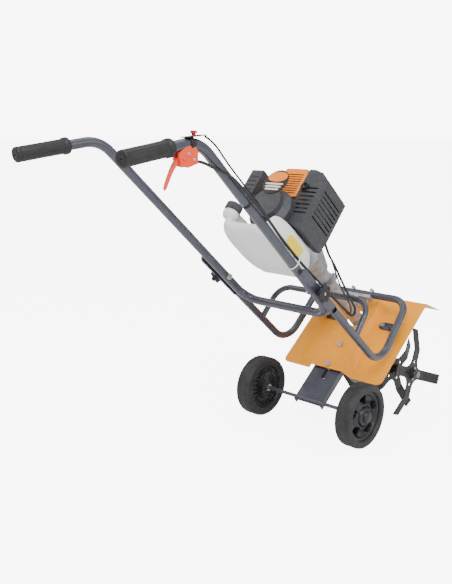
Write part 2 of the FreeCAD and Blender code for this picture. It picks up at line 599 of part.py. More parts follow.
housing = fuse(
    "housing_blank",
    cylinder("housing_drum", "housing_radius", "housing_straight - 18", 0, "housing_start", 0, "y"),
    cone("housing_taper", "housing_radius", "housing_tip", "housing_cone + 18", 0,
         "housing_start + housing_straight - 18", 0),
    cylinder("housing_boss_bar", "drive_tube_radius + 6", "housing_boss", 0,
             "housing_start + housing_straight + housing_cone", 0, "y"))
housing_rooms = [
    cylinder("housing_room", "drum_radius + 2.5", "housing_straight / 2 + 12", 0, "housing_start - 1", 0, "y"),
    cylinder("housing_shaft_room", 9, "housing_straight", 0, "housing_start", 0, "y"),
    cylinder("housing_tube_room", "drive_tube_radius + 0.05", 300, 0, "housing_start + housing_straight", 0, "y"),
]
node(engine_frame(cut("clutch_housing", housing, *housing_rooms)), "clutch_housing")

drum_cup = cut("drum_cup", cylinder("drum_outer", "drum_radius", 42, 0, "housing_start + 10", 0, "y"),
               cylinder("drum_inner", "drum_radius - 2.5", 39, 0, "housing_start + 9", 0, "y"))
drum_hub = cylinder("drum_hub", 11, 8, 0, "housing_start + 40", 0, "y")
drum_bore = cylinder("drum_bore", "shaft_radius", 60, 0, "housing_start + 20", 0, "y")
node(engine_frame(cut("clutch_drum", fuse("drum_blank", drum_cup, drum_hub), drum_bore)), "clutch_drum")

# ---------------------------------------------------------------- engine core

CRANK_ROOM = 33
case_block = span("crankcase_block", -38, 38, -46, 50.9, -42, 44)
case_cuts = [
    cylinder("crank_room", CRANK_ROOM, 72, 0, -36, 0, "y"),
    cylinder("crank_bore", 8.05, 200, 0, -100, 0, "y"),
    cylinder("skirt_room", 21, 30, 0, 0, 20, "z"),
]
node(engine_frame(cut("crankcase", case_block, *case_cuts)), "crankcase")

barrel = cylinder("barrel", 27, 72, 0, 0, 44.1, "z")
fins = [box(f"fin_{i}", 66, 62, 2, 0, 0, 52 + 7.5 * i) for i in range(8)]
ports = [span("inlet_port", -44, -20, -12, 12, 56, 76), span("exhaust_port", 20, 46, -12, 12, 56, 76)]
barrel_cuts = [
    cylinder("barrel_bore", 20, 66, 0, 0, 40, "z"), cylinder("plug_hole", 7, 40, 0, 0, 100, "z"),
    disc("inlet_hole", 7, 60, -40, 0, 66, "x"), disc("exhaust_hole", 7, 60, 40, 0, 66, "x"),
]
node(engine_frame(cut("cylinder", fuse("barrel_blank", barrel, *fins, *ports), *barrel_cuts)), "cylinder")

piston_cup = cut("piston_cup", cylinder("piston_outer", 19.95, 28, 0, 0, 68, "z"),
                 cylinder("piston_inner", 16, 23, 0, 0, 67, "z"))
piston_pin = disc("piston_pin", 4, 39, 0, 0, 78, "x")
node(engine_frame(fuse("piston", piston_cup, piston_pin)), "piston")

rod_bar = box("rod_bar", 7, 8, 48, 0, 0, 49)
rod_eyes = [disc("rod_small_eye", 7, 10, 0, 0, 78, "x"), disc("rod_big_eye", 11, 10, 0, 0, 16, "y")]
rod_holes = [disc("rod_small_hole", 4.05, 30, 0, 0, 78, "x"), disc("rod_big_hole", 6, 30, 0, 0, 16, "y")]
node(engine_frame(cut("connecting_rod", fuse("rod_blank", rod_bar, *rod_eyes), *rod_holes)), "connecting_rod")

crank_back = fuse("crank_back", cylinder("crank_back_shaft", 8, 67, 0, -76, 0, "y"),
                  cylinder("crank_back_web", 30, 10, 0, -18, 0, "y"))
crank_front = fuse("crank_front", cylinder("crank_front_shaft", 8, 60, 0, 16, 0, "y"),
                   cylinder("crank_front_web", 30, 10, 0, 8, 0, "y"))
node(engine_frame(group("crankshaft", crank_back, crank_front)), "crankshaft")

fly_disc = cylinder("fly_disc", 46, 12, 0, -62, 0, "y")
fly_hub = cylinder("fly_hub", 16, 20, 0, -68, 0, "y")
fly_fins = []
for i in range(12):
    angle = 30 * i
    blade = group(f"fly_fin_{i}", span(f"fly_fin_blade_{i}", -1.2, 1.2, -70, -61, 26, 45))
    blade.Placement.Rotation = Rotation(Vector(0, 1, 0), angle)
    fly_fins.append(blade)
node(engine_frame(cut("flywheel", fuse("fly_blank", fly_disc, fly_hub, *fly_fins),
                      cylinder("fly_bore", 8, 60, 0, -90, 0, "y"))), "flywheel")

shoe_ring = cut("shoe_ring", cylinder("shoe_outer", "drum_radius - 3.5", 18, 0, "housing_start + 18", 0, "y"),
                cylinder("shoe_bore", 8, 40, 0, "housing_start + 5", 0, "y"),
                box("shoe_split", 6, 60, 200, 0, "housing_start + 25", 0))
node(engine_frame(shoe_ring), "clutch_shoes")

plug = fuse("plug_blank", cylinder("plug_thread", 6.95, 14, 0, 0, 104, "z"),
            cylinder("plug_body", 9, 8, 0, 0, 116.2, "z"), cylinder("plug_tip", 3, 8, 0, 0, 124, "z"))
node(engine_frame(plug), "spark_plug")
node(engine_frame(cut("plug_boot", cylinder("boot_blank", 8.5, 9, 0, 0, 124.3, "z"),
                      cylinder("boot_bore", 3, 8, 0, 0, 124, "z"))), "plug_boot")

carb_block = span("carb_block", -74, -44.1, -17, 17, 50, 84)
node(engine_frame(cut("carburettor", carb_block, disc("carb_throat", 7, 80, -60, 0, 66, "x"))), "carburettor")
filter_box = cut("filter_box", span("filter_outer", -113, -74.1, -78, 15, 30, 108),
                 span("filter_room", -110, -80, -75, 12, 33, 105), disc("filter_hole", 7, 20, -76, 0, 66, "x"))
node(engine_frame(filter_box), "air_filter_cover")
node(engine_frame(fuse("choke_lever", cylinder("choke_pin", 3, 10, -60, 17.3, 58, "y"),
                       span("choke_arm", -63, -57, 23, 27, 40, 58))), "choke_lever")

muffler_box = cut("muffler_box", span("muffler_outer", 46.1, 92, -30, 34, 22, 100),
                  span("muffler_room", 48, 90, -28, 32, 24, 98), disc("muffler_hole", 7, 12, 46, 0, 66, "x"),
                  cylinder("muffler_outlet", 6, 20, 76, -40, 42, "y"))
node(engine_frame(muffler_box), "muffler")

# ---------------------------------------------------------------- engine covers

def slots(name, count, pitch, x, y, z, dx, dy, dz, step):
    """A row of straight cooling slots, each one step along y or z from the last."""
    row = []
    for i in range(count):
        sy, sz = (pitch * i, 0) if step == "y" else (0, pitch * i)
        row.append(box(f"{name}_{i}", dx, dy, dz, x, f"{y} + {sy}", f"{z} + {sz}"))
    return row


cover_outer = prism("cover_outer", "XZ", [
    ("cover_left", "cover_low"), ("cover_right", "cover_low"), ("cover_right", "cover_high - 14"),
    ("cover_right - 6", "cover_high"), ("cover_left + 8", "cover_high"), ("cover_left", "cover_high - 22"),
], "cover_back + cover_front")
put(cover_outer, 0, "(cover_front - cover_back) / 2", 0)
cover_inner = prism("cover_inner", "XZ", [
    ("cover_left + cover_wall", "cover_low - 5"), ("cover_right - cover_wall", "cover_low - 5"),
    ("cover_right - cover_wall", "cover_high - 15"), ("cover_right - 7", "cover_high - cover_wall"),
    ("cover_left + 9", "cover_high - cover_wall"), ("cover_left + cover_wall", "cover_high - 23"),
], "cover_back + cover_front - cover_wall * 2")
put(cover_inner, 0, "(cover_front - cover_back) / 2", 0)
port_gaps = [box(f"port_gap_{i}", 40, 26, 24, f"{side} * 48", 0, 66) for i, side in enumerate((-1, 1))]
node(engine_frame(cut("top_cover", cover_outer, cover_inner, *port_gaps,
                      *slots("louvre", 9, 7, 0, "-cover_back", "cover_low + 10", 58, 10, 3, "z"))), "top_cover")

SHROUD_LEFT = "(cover_right + shroud_gap)"
shroud_outer = prism("shroud_outer", "XZ", [
    (SHROUD_LEFT, "shroud_low + 22"), ("shroud_right - 22", "shroud_low"), ("shroud_right - 6", "shroud_low"),
    ("shroud_right", "shroud_low + 30"), ("shroud_right", "cover_high - 28"), ("shroud_right - 22", "cover_high - 9"),
    (SHROUD_LEFT + " + 16", "cover_high"), (SHROUD_LEFT, "cover_high"),
], "cover_back + shroud_front")
put(shroud_outer, 0, "(shroud_front - cover_back) / 2", 0)
shroud_inner = prism("shroud_inner", "XZ", [
    (SHROUD_LEFT + " - 1", "shroud_low + 25"), ("shroud_right - 21", "shroud_low + cover_wall"),
    ("shroud_right - 7.5", "shroud_low + cover_wall"), ("shroud_right - cover_wall", "shroud_low + 30"),
    ("shroud_right - cover_wall", "cover_high - 29"), ("shroud_right - 23", "cover_high - 11"),
    (SHROUD_LEFT + " + 15", "cover_high - cover_wall"), (SHROUD_LEFT + " - 1", "cover_high - cover_wall"),
], "cover_back + shroud_front - cover_wall * 2")
put(shroud_inner, 0, "(shroud_front - cover_back) / 2", 0)
shroud_slots = (slots("back_slot", 7, 12, "(cover_right + shroud_right) / 2 - 2", "-cover_back", 12, 44, 10, 4, "z")
                + slots("side_slot", 7, 12, "shroud_right", 4, 12, 10, 84, 4, "z"))
housing_clear = cylinder("shroud_housing_clear", "housing_radius + 1", 40, 0, 45, 0, "y")
node(engine_frame(cut("engine_shroud", shroud_outer, shroud_inner, housing_clear, *shroud_slots)), "engine_shroud")

starter_drum = cylinder("starter_drum", "starter_radius", 18, 0, "-cover_back - 18", 0, "y")
starter_taper = cone("starter_taper", "starter_nose_radius", "starter_radius", 12, 0, "-cover_back - 30", 0)
starter_nose = cylinder("starter_nose", "starter_nose_radius", "starter_depth - 29", 0, "-cover_back - starter_depth",
                        0, "y")
starter_rooms = [
    cylinder("starter_room", "starter_radius - 3", 17, 0, "-cover_back - 16", 0, "y"),
    cylinder("starter_fan_room", "starter_radius - 11", 12, 0, "-cover_back - 26", 0, "y"),
    cylinder("starter_shaft_room", 14, 20, 0, "-cover_back - 42", 0, "y"),
    cylinder("starter_rope_room", "starter_nose_radius - 6", 18, 0, "-cover_back - 42", 0, "y"),
    disc("rope_hole", 3, 30, "-starter_radius", -72, 12, "x"),
]
node(engine_frame(cut("starter_cover", fuse("starter_blank", starter_drum, starter_taper, starter_nose), *starter_rooms)),
     "starter_cover")
pull_bar = fuse("pull_bar", disc("pull_grip", 7, 40, "-starter_radius - 12", -74, 12, "y"),
                disc("pull_stem", 5, 10, "-starter_radius - 5.3", -74, 12, "x"))
node(engine_frame(pull_bar), "starter_handle")

# ---------------------------------------------------------------- fuel tank

tank_block = span("tank_block", "-tank_half", "tank_half", "-tank_back", "tank_front", "-tank_bottom", "-tank_top")
tank_soft = doc.addObject("Part::Fillet", "tank_soft")
tank_soft.Base = tank_block
doc.recompute()
tank_soft.Edges = [(i, D["tank_round"], D["tank_round"]) for i in range(1, 13)]
saddle = span("tank_saddle_cut", "-starter_radius - 4", "starter_radius + 4", "-tank_back - 5", "tank_front + 5",
              "-tank_saddle", 0)
front_slope = prism("tank_front_slope", "YZ", [
    ("tank_front - 42", "0"), ("tank_front + 20", "0"), ("tank_front + 20", "-tank_bottom + 16"),
], "tank_half * 2 + 20")
filler = cylinder("filler_neck", "cap_radius - 4", "cap_height - 5 + 20", "cap_x", "-cap_back", "-cap_foot - 20")
cap_clear = cylinder("cap_clear", "cap_radius + 0.8", 60, "cap_x", "-cap_back", "-cap_foot - 1")
tank_outside = fuse("tank_outside", cut("tank_shaped", tank_soft, saddle, front_slope, cap_clear), filler)
tank_rooms = [
    span("tank_room", "-tank_half + 9", "tank_half - 9", "-tank_back + 9", "tank_front - 40",
         "-tank_bottom + tank_wall + 3", "-tank_saddle - tank_wall"),
    cylinder("filler_bore", "cap_radius - 7", 120, "cap_x", "-cap_back", "-tank_bottom + 24"),
]
node(engine_frame(cut("fuel_tank", tank_outside, *tank_rooms)), "fuel_tank")
CAP_FOOT = "-cap_foot"
cap_blank = cylinder("cap_blank", "cap_radius", "cap_height", "cap_x", "-cap_back", CAP_FOOT)
cap_room = cylinder("cap_room", "cap_radius - 3.6", "cap_height - 4", "cap_x", "-cap_back", f"{CAP_FOOT} - 1")
node(engine_frame(cut("fuel_cap", cap_blank, cap_room)), "fuel_cap")

FUEL_HOSES = (
    [(-67, -16, -33.9), (-67, -16, -12), (-72, -10, 14), (-66, -8, 34), (-66, -8, 49.9)],
    [(-67, 8, -33.9), (-67, 8, -8), (-60, 12, 18), (-56, 9, 36), (-56, 9, 49.9)],
)
hose_lines = [cord_route([on_engine(*p) for p in line]) for line in FUEL_HOSES]
hoses = [rod(line, 3) for line in hose_lines]
for hose, line in zip(hoses, hose_lines):
    print("hose volume ratio", round(hose.Volume / (math.pi * 9 * line.Length), 4))
node(made("fuel_hoses", Part.makeCompound(hoses)), "fuel_hoses")

# ---------------------------------------------------------------- loop frame and brace

loop_right = [on_drive(D["loop_x"], -D["strip_end"], -D["loop_z"]),
              on_drive(D["loop_x"], -D["loop_front"] - 5, -D["loop_z"]),
              on_drive(D["loop_top_x"], -D["loop_front"] + 5, D["loop_top"])]
loop_route = rounded_route(mirrored(loop_right), [D["loop_low_bend"], D["loop_top_bend"]] +
                           [D["loop_top_bend"], D["loop_low_bend"]])
loop_tube = tube(loop_route, D["loop_radius"], D["loop_wall"])


def loop_strip(side):
    """The flattened upper end of the loop tube, round-nosed, with the knob bolt's hole."""
    thick = D["strip_thick"]
    wide = D["strip_width"]
    length = D["strip_start"] - D["strip_end"]
    inner = side * D["loop_x"] - thick / 2
    bar = Part.makeBox(thick, length - wide / 2, wide, Vector(inner, wide / 2, -wide / 2))
    nose = Part.makeCylinder(wide / 2, thick, Vector(inner, wide / 2, 0), Vector(1, 0, 0))
    hole = Part.makeCylinder(D["knob_bolt_radius"] + 0.1, 60,
                             Vector(inner - 20, D["strip_start"] - D["pivot_distance"], 0), Vector(1, 0, 0))
    strip = bar.fuse(nose).cut(hole)
    strip.Placement = Placement(on_drive(0, -D["strip_start"], -D["loop_z"]), Rotation(Vector(1, 0, 0),
                                                                                      -D["drive_tilt"]))
    return strip


cross_bolts = [(on_drive(side * D["cross_bolt_x"], -D["loop_front"], D["pad_height"] - 14), side) for side in (-1, 1)]
UP = on_drive(0, 0, 1) - on_drive(0, 0, 0)
DOWN_LINE = on_drive(0, 1, 0) - on_drive(0, 0, 0)
bolt_holes = [Part.makeCylinder(4.1, 60, foot, UP) for foot, side in cross_bolts]
loop_frame = loop_tube.fuse([loop_strip(-1), loop_strip(1)]).cut(bolt_holes)
node(made("loop_frame", loop_frame), "loop_frame")

brace_right = [on_drive(D["brace_foot_x"], -D["brace_y"], -D["loop_z"]),
               on_drive(D["brace_top_x"], -D["brace_y"], -D["brace_top"])]
brace_route = rounded_route(mirrored(brace_right), [D["brace_bend"]] * 2)
brace = tube(brace_route, D["brace_radius"], D["brace_wall"]).cut(rod(loop_route, D["loop_radius"] + 0.02))
brace_solid = max(brace.Solids, key=lambda solid: solid.Volume)
node(made("brace_loop", brace_solid), "brace_loop")


GUARD = Placement(Vector(0, D["guard_y"], D["guard_z"]), Rotation(Vector(1, 0, 0), D["guard_slope"]))
TAB_X = 78
TAB_UP = 190


def guard_tab(side):
    """A strap with a round-ended foot bolted to the guard's panel and a leg up to the loop's front arm."""
    foot = Part.makeBox(34, 24, 4, Vector(TAB_X, TAB_UP - 12, 0.02))
    foot = foot.fuse(Part.makeCylinder(12, 4, Vector(TAB_X, TAB_UP, 0.02)))
    foot.Placement = GUARD
    low = GUARD.multVec(Vector(TAB_X + 30, TAB_UP, 2))
    high = on_drive((D["loop_x"] + D["loop_top_x"]) / 2, -D["loop_front"], -24)
    leg = Part.makeBox(20, 4, (high - low).Length, Vector(-10, -2, 0))
    leg.Placement = Placement(low, Rotation(Vector(1, 0.4, 0), Vector(0, 0, 0), high - low, "ZXY"))
    strap = foot.fuse(leg)
    below = Part.makeBox(300, 300, 60, Vector(0, 0, -60 + 0.02))
    below.Placement = GUARD
    hole = Part.makeCylinder(4.1, 40, Vector(TAB_X, TAB_UP, -20))
    hole.Placement = GUARD
    strap = strap.cut([below, hole])
    if side < 0:
        strap = strap.mirror(Vector(0, 0, 0), Vector(1, 0, 0))
    strap = strap.cut(rod(loop_route, D["loop_radius"] + 0.02))
    return max(strap.Solids, key=lambda solid: solid.Volume)


node(made("guard_tabs", Part.makeCompound([guard_tab(side) for side in (-1, 1)])), "guard_tabs")


def bolt(foot, heading, length, radius=4, head=7.5, thick=5):
    """A hexagon-headed bolt from its foot to the underside of its head."""
    stem = Part.makeCylinder(radius, length, foot, heading)
    corners = [Vector(head * math.cos(math.radians(60 * i)), head * math.sin(math.radians(60 * i)), 0)
               for i in range(7)]
    cap = Part.Face(Part.makePolygon(corners)).extrude(Vector(0, 0, thick))
    cap.Placement = Placement(foot + heading * length, Rotation(Vector(0, 0, 1), heading))
    return stem.fuse(cap)


frame_bolts = [bolt(foot, UP, D["loop_top"] + D["loop_radius"] - D["pad_height"] + 14.2) for foot, side in cross_bolts]
PANEL_UP = GUARD.Rotation.multVec(Vector(0, 0, 1))
frame_bolts += [bolt(GUARD.multVec(Vector(side * TAB_X, TAB_UP, -7)), PANEL_UP, 11.1) for side in (-1, 1)]
node(made("frame_bolts", Part.makeCompound(frame_bolts)), "frame_bolts")

# ---------------------------------------------------------------- handle

PIVOT = on_drive(0, -D["pivot_distance"], -D["loop_z"])
rise = math.tan(math.radians(D["handle_slope"]))
low_corner = Vector(D["handle_low_x"], PIVOT.y + D["handle_low_reach"], PIVOT.z - D["handle_low_reach"] * rise)
top_corner = Vector(D["handle_top_x"], PIVOT.y - D["handle_top_reach"], PIVOT.z + D["handle_top_reach"] * rise)
grip_end = Vector(D["grip_end_x"], top_corner.y - D["grip_reach"], top_corner.z - D["grip_drop"])
grip_line = (top_corner - grip_end).normalize()
tube_end = grip_end + grip_line * 4
handle_right = [tube_end, top_corner, low_corner]
handle_route = rounded_route(mirrored(handle_right), [D["handle_top_bend"], D["handle_low_bend"]] +
                             [D["handle_low_bend"], D["handle_top_bend"]])
knob_holes = Part.makeCylinder(D["knob_bolt_radius"] + 0.1, 400, PIVOT - Vector(200, 0, 0), Vector(1, 0, 0))
handle = tube(handle_route, D["handle_radius"], D["handle_wall"]).cut(knob_holes)
node(made("handle_tube", handle), "handle_tube")


def grip(side):
    """Closed rubber sleeve with a flange at its front end."""
    end = Vector(side * grip_end.x, grip_end.y, grip_end.z)
    line = Vector(side * grip_line.x, grip_line.y, grip_line.z)
    sleeve = Part.makeCylinder(D["grip_radius"], D["grip_length"], end, line)
    flange = Part.makeCylinder(D["grip_radius"] + 2, 5, end + line * (D["grip_length"] - 6), line)
    bore = Part.makeCylinder(D["handle_radius"] + 0.02, D["grip_length"], end + line * 4, line)
    return sleeve.fuse(flange).cut(bore)


node(made("left_grip", grip(-1)), "left_grip")
node(made("right_grip", grip(1)), "right_grip")

PIVOT_X = D["handle_low_x"] + (D["handle_top_x"] - D["handle_low_x"]) * D["handle_low_reach"] / (
    D["handle_low_reach"] + D["handle_top_reach"])
knob_bolts = []
for label, side in (("left_knob", -1), ("right_knob", 1)):
    outward = Vector(side, 0, 0)
    foot = PIVOT + outward * (PIVOT_X - D["handle_radius"] - 0.4)
    stem_end = D["loop_x"] + D["strip_thick"] / 2 + D["knob_thick"] - 2
    stem = Part.makeCylinder(D["knob_bolt_radius"], stem_end - PIVOT_X + D["handle_radius"] + 0.4, foot, outward)
    head = Part.makeCylinder(8, 4, foot - outward * 4, outward)
    knob_bolts.append(stem.fuse(head))
    face = PIVOT + outward * (D["loop_x"] + D["strip_thick"] / 2 + 0.4)
    body = Part.makeCylinder(D["knob_radius"] - 5, D["knob_thick"], face, outward)
    lobes = []
    for i in range(7):
        angle = 2 * math.pi * i / 7
        reach = (D["knob_radius"] - 6)
        middle = face + Vector(0, reach * math.cos(angle), reach * math.sin(angle))
        lobes.append(Part.makeCylinder(6, D["knob_thick"] - 3, middle, outward))
    bore = Part.makeCylinder(D["knob_bolt_radius"] + 0.05, 60, face - outward * 10, outward)
    node(made(label, body.fuse(lobes).cut(bore).removeSplitter()), label)
node(made("knob_bolts", Part.makeCompound(knob_bolts)), "knob_bolts")

# ---------------------------------------------------------------- throttle lever, stop switch, cables

BEND_X = D["handle_top_x"] + 3.5
LEVER_PIVOT = Vector(BEND_X, top_corner.y - 50, top_corner.z - 32)


BAND_FOOT = grip_end + grip_line * (D["grip_length"] + 48)
BAND_AT = Vector(BEND_X - 1, BAND_FOOT.y, BAND_FOOT.z - 1.2)
band = Part.makeCylinder(D["handle_radius"] + 2, 12, BAND_AT, grip_line)
band_room = Part.makeCylinder(D["handle_radius"] + 2.2, 13, BAND_AT - grip_line * 0.5, grip_line)


def throttle_housing():
    """A split clip under the tube before its bend, with a slot for the lever."""
    y, z = LEVER_PIVOT.y, LEVER_PIVOT.z
    outline = [Vector(0, y - 11, z + 12), Vector(0, y + 8, z + 24), Vector(0, y + 30, z + 22),
               Vector(0, y + 36, z + 12), Vector(0, y + 35, z - 9), Vector(0, y + 10, z - 16),
               Vector(0, y - 6, z - 12), Vector(0, y - 10, z - 2)]
    block = Part.Face(Part.makePolygon(outline + outline[:1])).extrude(Vector(20, 0, 0))
    block.translate(Vector(BEND_X - 10, 0, 0))
    lever_slot = Part.makeBox(8.6, 44, 60, Vector(BEND_X - 4.3, y - 30, z - 40))
    pin_hole = Part.makeCylinder(3.05, 40, Vector(BEND_X - 20, y, z), Vector(1, 0, 0))
    cable_hole = Part.makeCylinder(3.1, 30, Vector(BEND_X, y + 20, z - 4), Vector(0, 1, 0))
    return block.cut([lever_slot, pin_hole, cable_hole, rod(handle_route, D["handle_radius"] + 0.03), band_room])


def throttle_lever():
    """A finger lever hanging from its pin, curved back and down."""
    y, z = LEVER_PIVOT.y, LEVER_PIVOT.z
    pin = Part.makeCylinder(3, 24, Vector(BEND_X - 12, y, z), Vector(1, 0, 0))
    eye = Part.makeCylinder(8, 8, Vector(BEND_X - 4, y, z), Vector(1, 0, 0))
    outline = [Vector(0, y - 4, z + 7), Vector(0, y - 18, z - 6), Vector(0, y - 34, z - 28),
               Vector(0, y - 46, z - 56), Vector(0, y - 38, z - 58), Vector(0, y - 26, z - 34),
               Vector(0, y - 10, z - 12), Vector(0, y + 4, z - 7)]
    arm = Part.Face(Part.makePolygon(outline + outline[:1])).extrude(Vector(8, 0, 0))
    arm.translate(Vector(BEND_X - 4, 0, 0))
    return eye.fuse([arm, pin]).removeSplitter()


node(made("throttle_housing", max(throttle_housing().Solids, key=lambda s: s.Volume)), "throttle_housing")
node(made("throttle_lever", throttle_lever()), "throttle_lever")

band = band.cut(rod(handle_route, D["handle_radius"] + 0.03))
plate_at = band.BoundBox.Center + Vector(0, 10, D["handle_radius"] + 2.2)
plate = Part.makeBox(22, 50, 1.6, Vector(-11, -25, 0))
plate.Placement = Placement(plate_at, Rotation(Vector(1, 0, 0), 5))
post_hole = Part.makeCylinder(4.05, 20, plate_at + Vector(0, 0, -6), Vector(0, 0, 1))
node(made("switch_strap", band.fuse(plate).cut(post_hole).cut(rod(handle_route, D["handle_radius"] + 0.03))),
     "switch_strap")
node(made("stop_button", Part.makeCylinder(4, 6, plate_at + Vector(0, 0, 1.4), Vector(0, 0, 1)).fuse(
    Part.makeCylinder(6.5, 5, plate_at + Vector(0, 0, 6), Vector(0, 0, 1)))), "stop_button")



def on_handle(x, reach, lift):
    """A point beside the handle's arm: reach up the arm from its pivot, lift square to it."""
    angle = math.radians(D["handle_slope"])
    return PIVOT + Vector(x, lift * math.sin(angle) - reach * math.cos(angle),
                          reach * math.sin(angle) + lift * math.cos(angle))


LEVER_Y, LEVER_Z = LEVER_PIVOT.y, LEVER_PIVOT.z
# The throttle cable leaves its housing, lies over the arm, hangs in a bend below the clutch
# housing and climbs over it to the carburettor. The switch wire keeps beside it.
cable_points = [
    Vector(BEND_X, LEVER_Y + 22, LEVER_Z - 4), Vector(BEND_X, LEVER_Y + 50, LEVER_Z - 4),
    on_handle(162, 454, -14), on_handle(167, 420, 1), on_handle(168, 365, 4), on_handle(162, 290, 12),
    on_handle(149, 195, 15.5), on_handle(147, 90, 18), on_handle(145, 0, 27), on_handle(141, -80, 35),
    on_handle(137, -150, 44),
    on_drive(131, -353, -94), on_drive(119, -334, -63), on_drive(92, -354, -35), on_drive(62, -372, -4),
    on_drive(52, -404, 14), on_engine(48, 132, 26), on_engine(43, 104, 56), on_engine(18, 76, 80),
    on_engine(-22, 60, 85), on_engine(-50, 40, 76), on_engine(-58, 18.6, 68),
]
cable = rod(cord_route(cable_points), 3)
print("cable volume ratio", round(cable.Volume / (math.pi * 9 * cord_route(cable_points).Length), 4))
node(made("throttle_cable", cable), "throttle_cable")

WIRE_SHIFTS = [(-9, -3, 2), (-8, -8, 6), (-3, -11, -2), (-3, -10, -1), (-9, 2, 3)]
wire_points = [
    plate_at + Vector(4, 25.2, 0.4), plate_at + Vector(6, 47, -10), on_handle(162, 440, 15), on_handle(163, 380, 14),
    on_handle(157, 290, 19), on_handle(143, 195, 16.5), on_handle(141, 90, 20), on_handle(138, 0, 31),
    on_handle(134, -80, 40), on_handle(129, -150, 50),
] + [near + Vector(*shift) for near, shift in zip(cable_points[11:16], WIRE_SHIFTS)] + [
    on_engine(40, 140, 38), on_engine(34, 108, 62), on_engine(12, 84, 74), on_engine(-6, 60, 68),
    on_engine(-8, 45, 45),
]
wire = rod(cord_route(wire_points), 2)
print("wire volume ratio", round(wire.Volume / (math.pi * 4 * cord_route(wire_points).Length), 4))
node(made("switch_wire", wire), "switch_wire")

# ---------------------------------------------------------------- checks and export

doc.recompute()
for thing in doc.Objects:
    if {"Invalid", "Error"} & set(thing.State):
        raise RuntimeError(f"{thing.Name} failed: {thing.State}")
os.makedirs("parts", exist_ok=True)
for label, thing in NODES:
    shape = thing.Shape
    if shape.isNull() or not shape.isValid() or not shape.Solids:
        raise RuntimeError(f"{label} has no valid solid")
    shape.exportStep(f"parts/{label}.step")
    print(f"{label}: {len(shape.Solids)} solid(s), {shape.Volume / 1000:.1f} cm3")
print(len(NODES), "nodes")
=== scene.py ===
"""Looks of a petrol tiller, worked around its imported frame. Lengths are in metres, apart from routes, turned
profiles and places on the engine and handle, which are in millimetres."""
import math

import bpy
import numpy as np
from mathutils import Matrix, Vector


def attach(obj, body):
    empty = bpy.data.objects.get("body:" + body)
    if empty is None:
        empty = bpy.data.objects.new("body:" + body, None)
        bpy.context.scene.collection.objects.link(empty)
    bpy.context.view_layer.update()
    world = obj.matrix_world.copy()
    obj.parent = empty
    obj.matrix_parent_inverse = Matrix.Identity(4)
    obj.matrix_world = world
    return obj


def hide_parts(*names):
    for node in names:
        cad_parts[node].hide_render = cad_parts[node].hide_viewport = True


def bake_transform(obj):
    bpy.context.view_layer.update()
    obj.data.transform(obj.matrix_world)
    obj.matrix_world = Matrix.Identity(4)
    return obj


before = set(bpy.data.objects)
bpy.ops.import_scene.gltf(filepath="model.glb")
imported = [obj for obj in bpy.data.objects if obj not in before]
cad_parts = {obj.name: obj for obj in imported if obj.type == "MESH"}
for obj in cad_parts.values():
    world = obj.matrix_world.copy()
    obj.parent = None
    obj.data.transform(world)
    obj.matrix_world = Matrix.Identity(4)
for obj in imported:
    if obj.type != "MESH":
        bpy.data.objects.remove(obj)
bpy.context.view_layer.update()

MM = 0.001
TILT = math.radians(41.3)
DRIVE_FOOT = np.array([0.0, 0.3324, 0.1756])
ENGINE_RISE = 0.602
PIVOT = np.array([0.0, -0.17629, 0.43439])
HANDLE_SLOPE = math.radians(42.5)


# ---------------------------------------------------------------- places on the machine

def on_drive(points):
    """Points given as (across, down the drive line, square to it) in millimetres, turned by the tilt."""
    across, down, square = np.moveaxis(np.asarray(points, float) * MM, -1, 0)
    c, s = math.cos(TILT), math.sin(TILT)
    return DRIVE_FOOT + np.stack([across, down * c + square * s, square * c - down * s], -1)


def on_engine(points):
    """As on_drive, with the origin moved up the drive line to the engine."""
    return on_drive(np.asarray(points, float) - np.array([0, ENGINE_RISE / MM, 0]))


def on_handle(points):
    """Points given as (across, up the arm from its pivot, square to the arm) in millimetres."""
    across, up, square = np.moveaxis(np.asarray(points, float) * MM, -1, 0)
    c, s = math.cos(HANDLE_SLOPE), math.sin(HANDLE_SLOPE)
    return PIVOT + np.stack([across, square * s - up * c, up * s + square * c], -1)


# Two directions on the engine: square to the drive line, and up along it.
OFF_ENGINE = on_engine((0, 0, 1)) - on_engine((0, 0, 0))
UP_ENGINE = on_engine((0, -1, 0)) - on_engine((0, 0, 0))


# ---------------------------------------------------------------- meshes from grids

def grid_faces(rows, cols, wrap_rows):
    """Quads between neighbouring points. The last column joins the first; if asked, so does the last row."""
    i, j = np.meshgrid(np.arange(rows - (not wrap_rows)), np.arange(cols), indexing="ij")
    k, m = (i + 1) % rows, (j + 1) % cols
    quads = np.stack([i * cols + j, k * cols + j, k * cols + m, i * cols + m], -1)
    return quads.reshape(-1, 4)


def volume_of(points, faces):
    """Signed volume: the sum of corner triple products of the fan triangles of every face."""
    total = 0.0
    for face in faces:
        for b in range(1, face.shape[1] - 1):
            p, q, r = points[face[:, 0]], points[face[:, b]], points[face[:, b + 1]]
            total += np.einsum("ij,ij->i", p, np.cross(q, r)).sum()
    return total


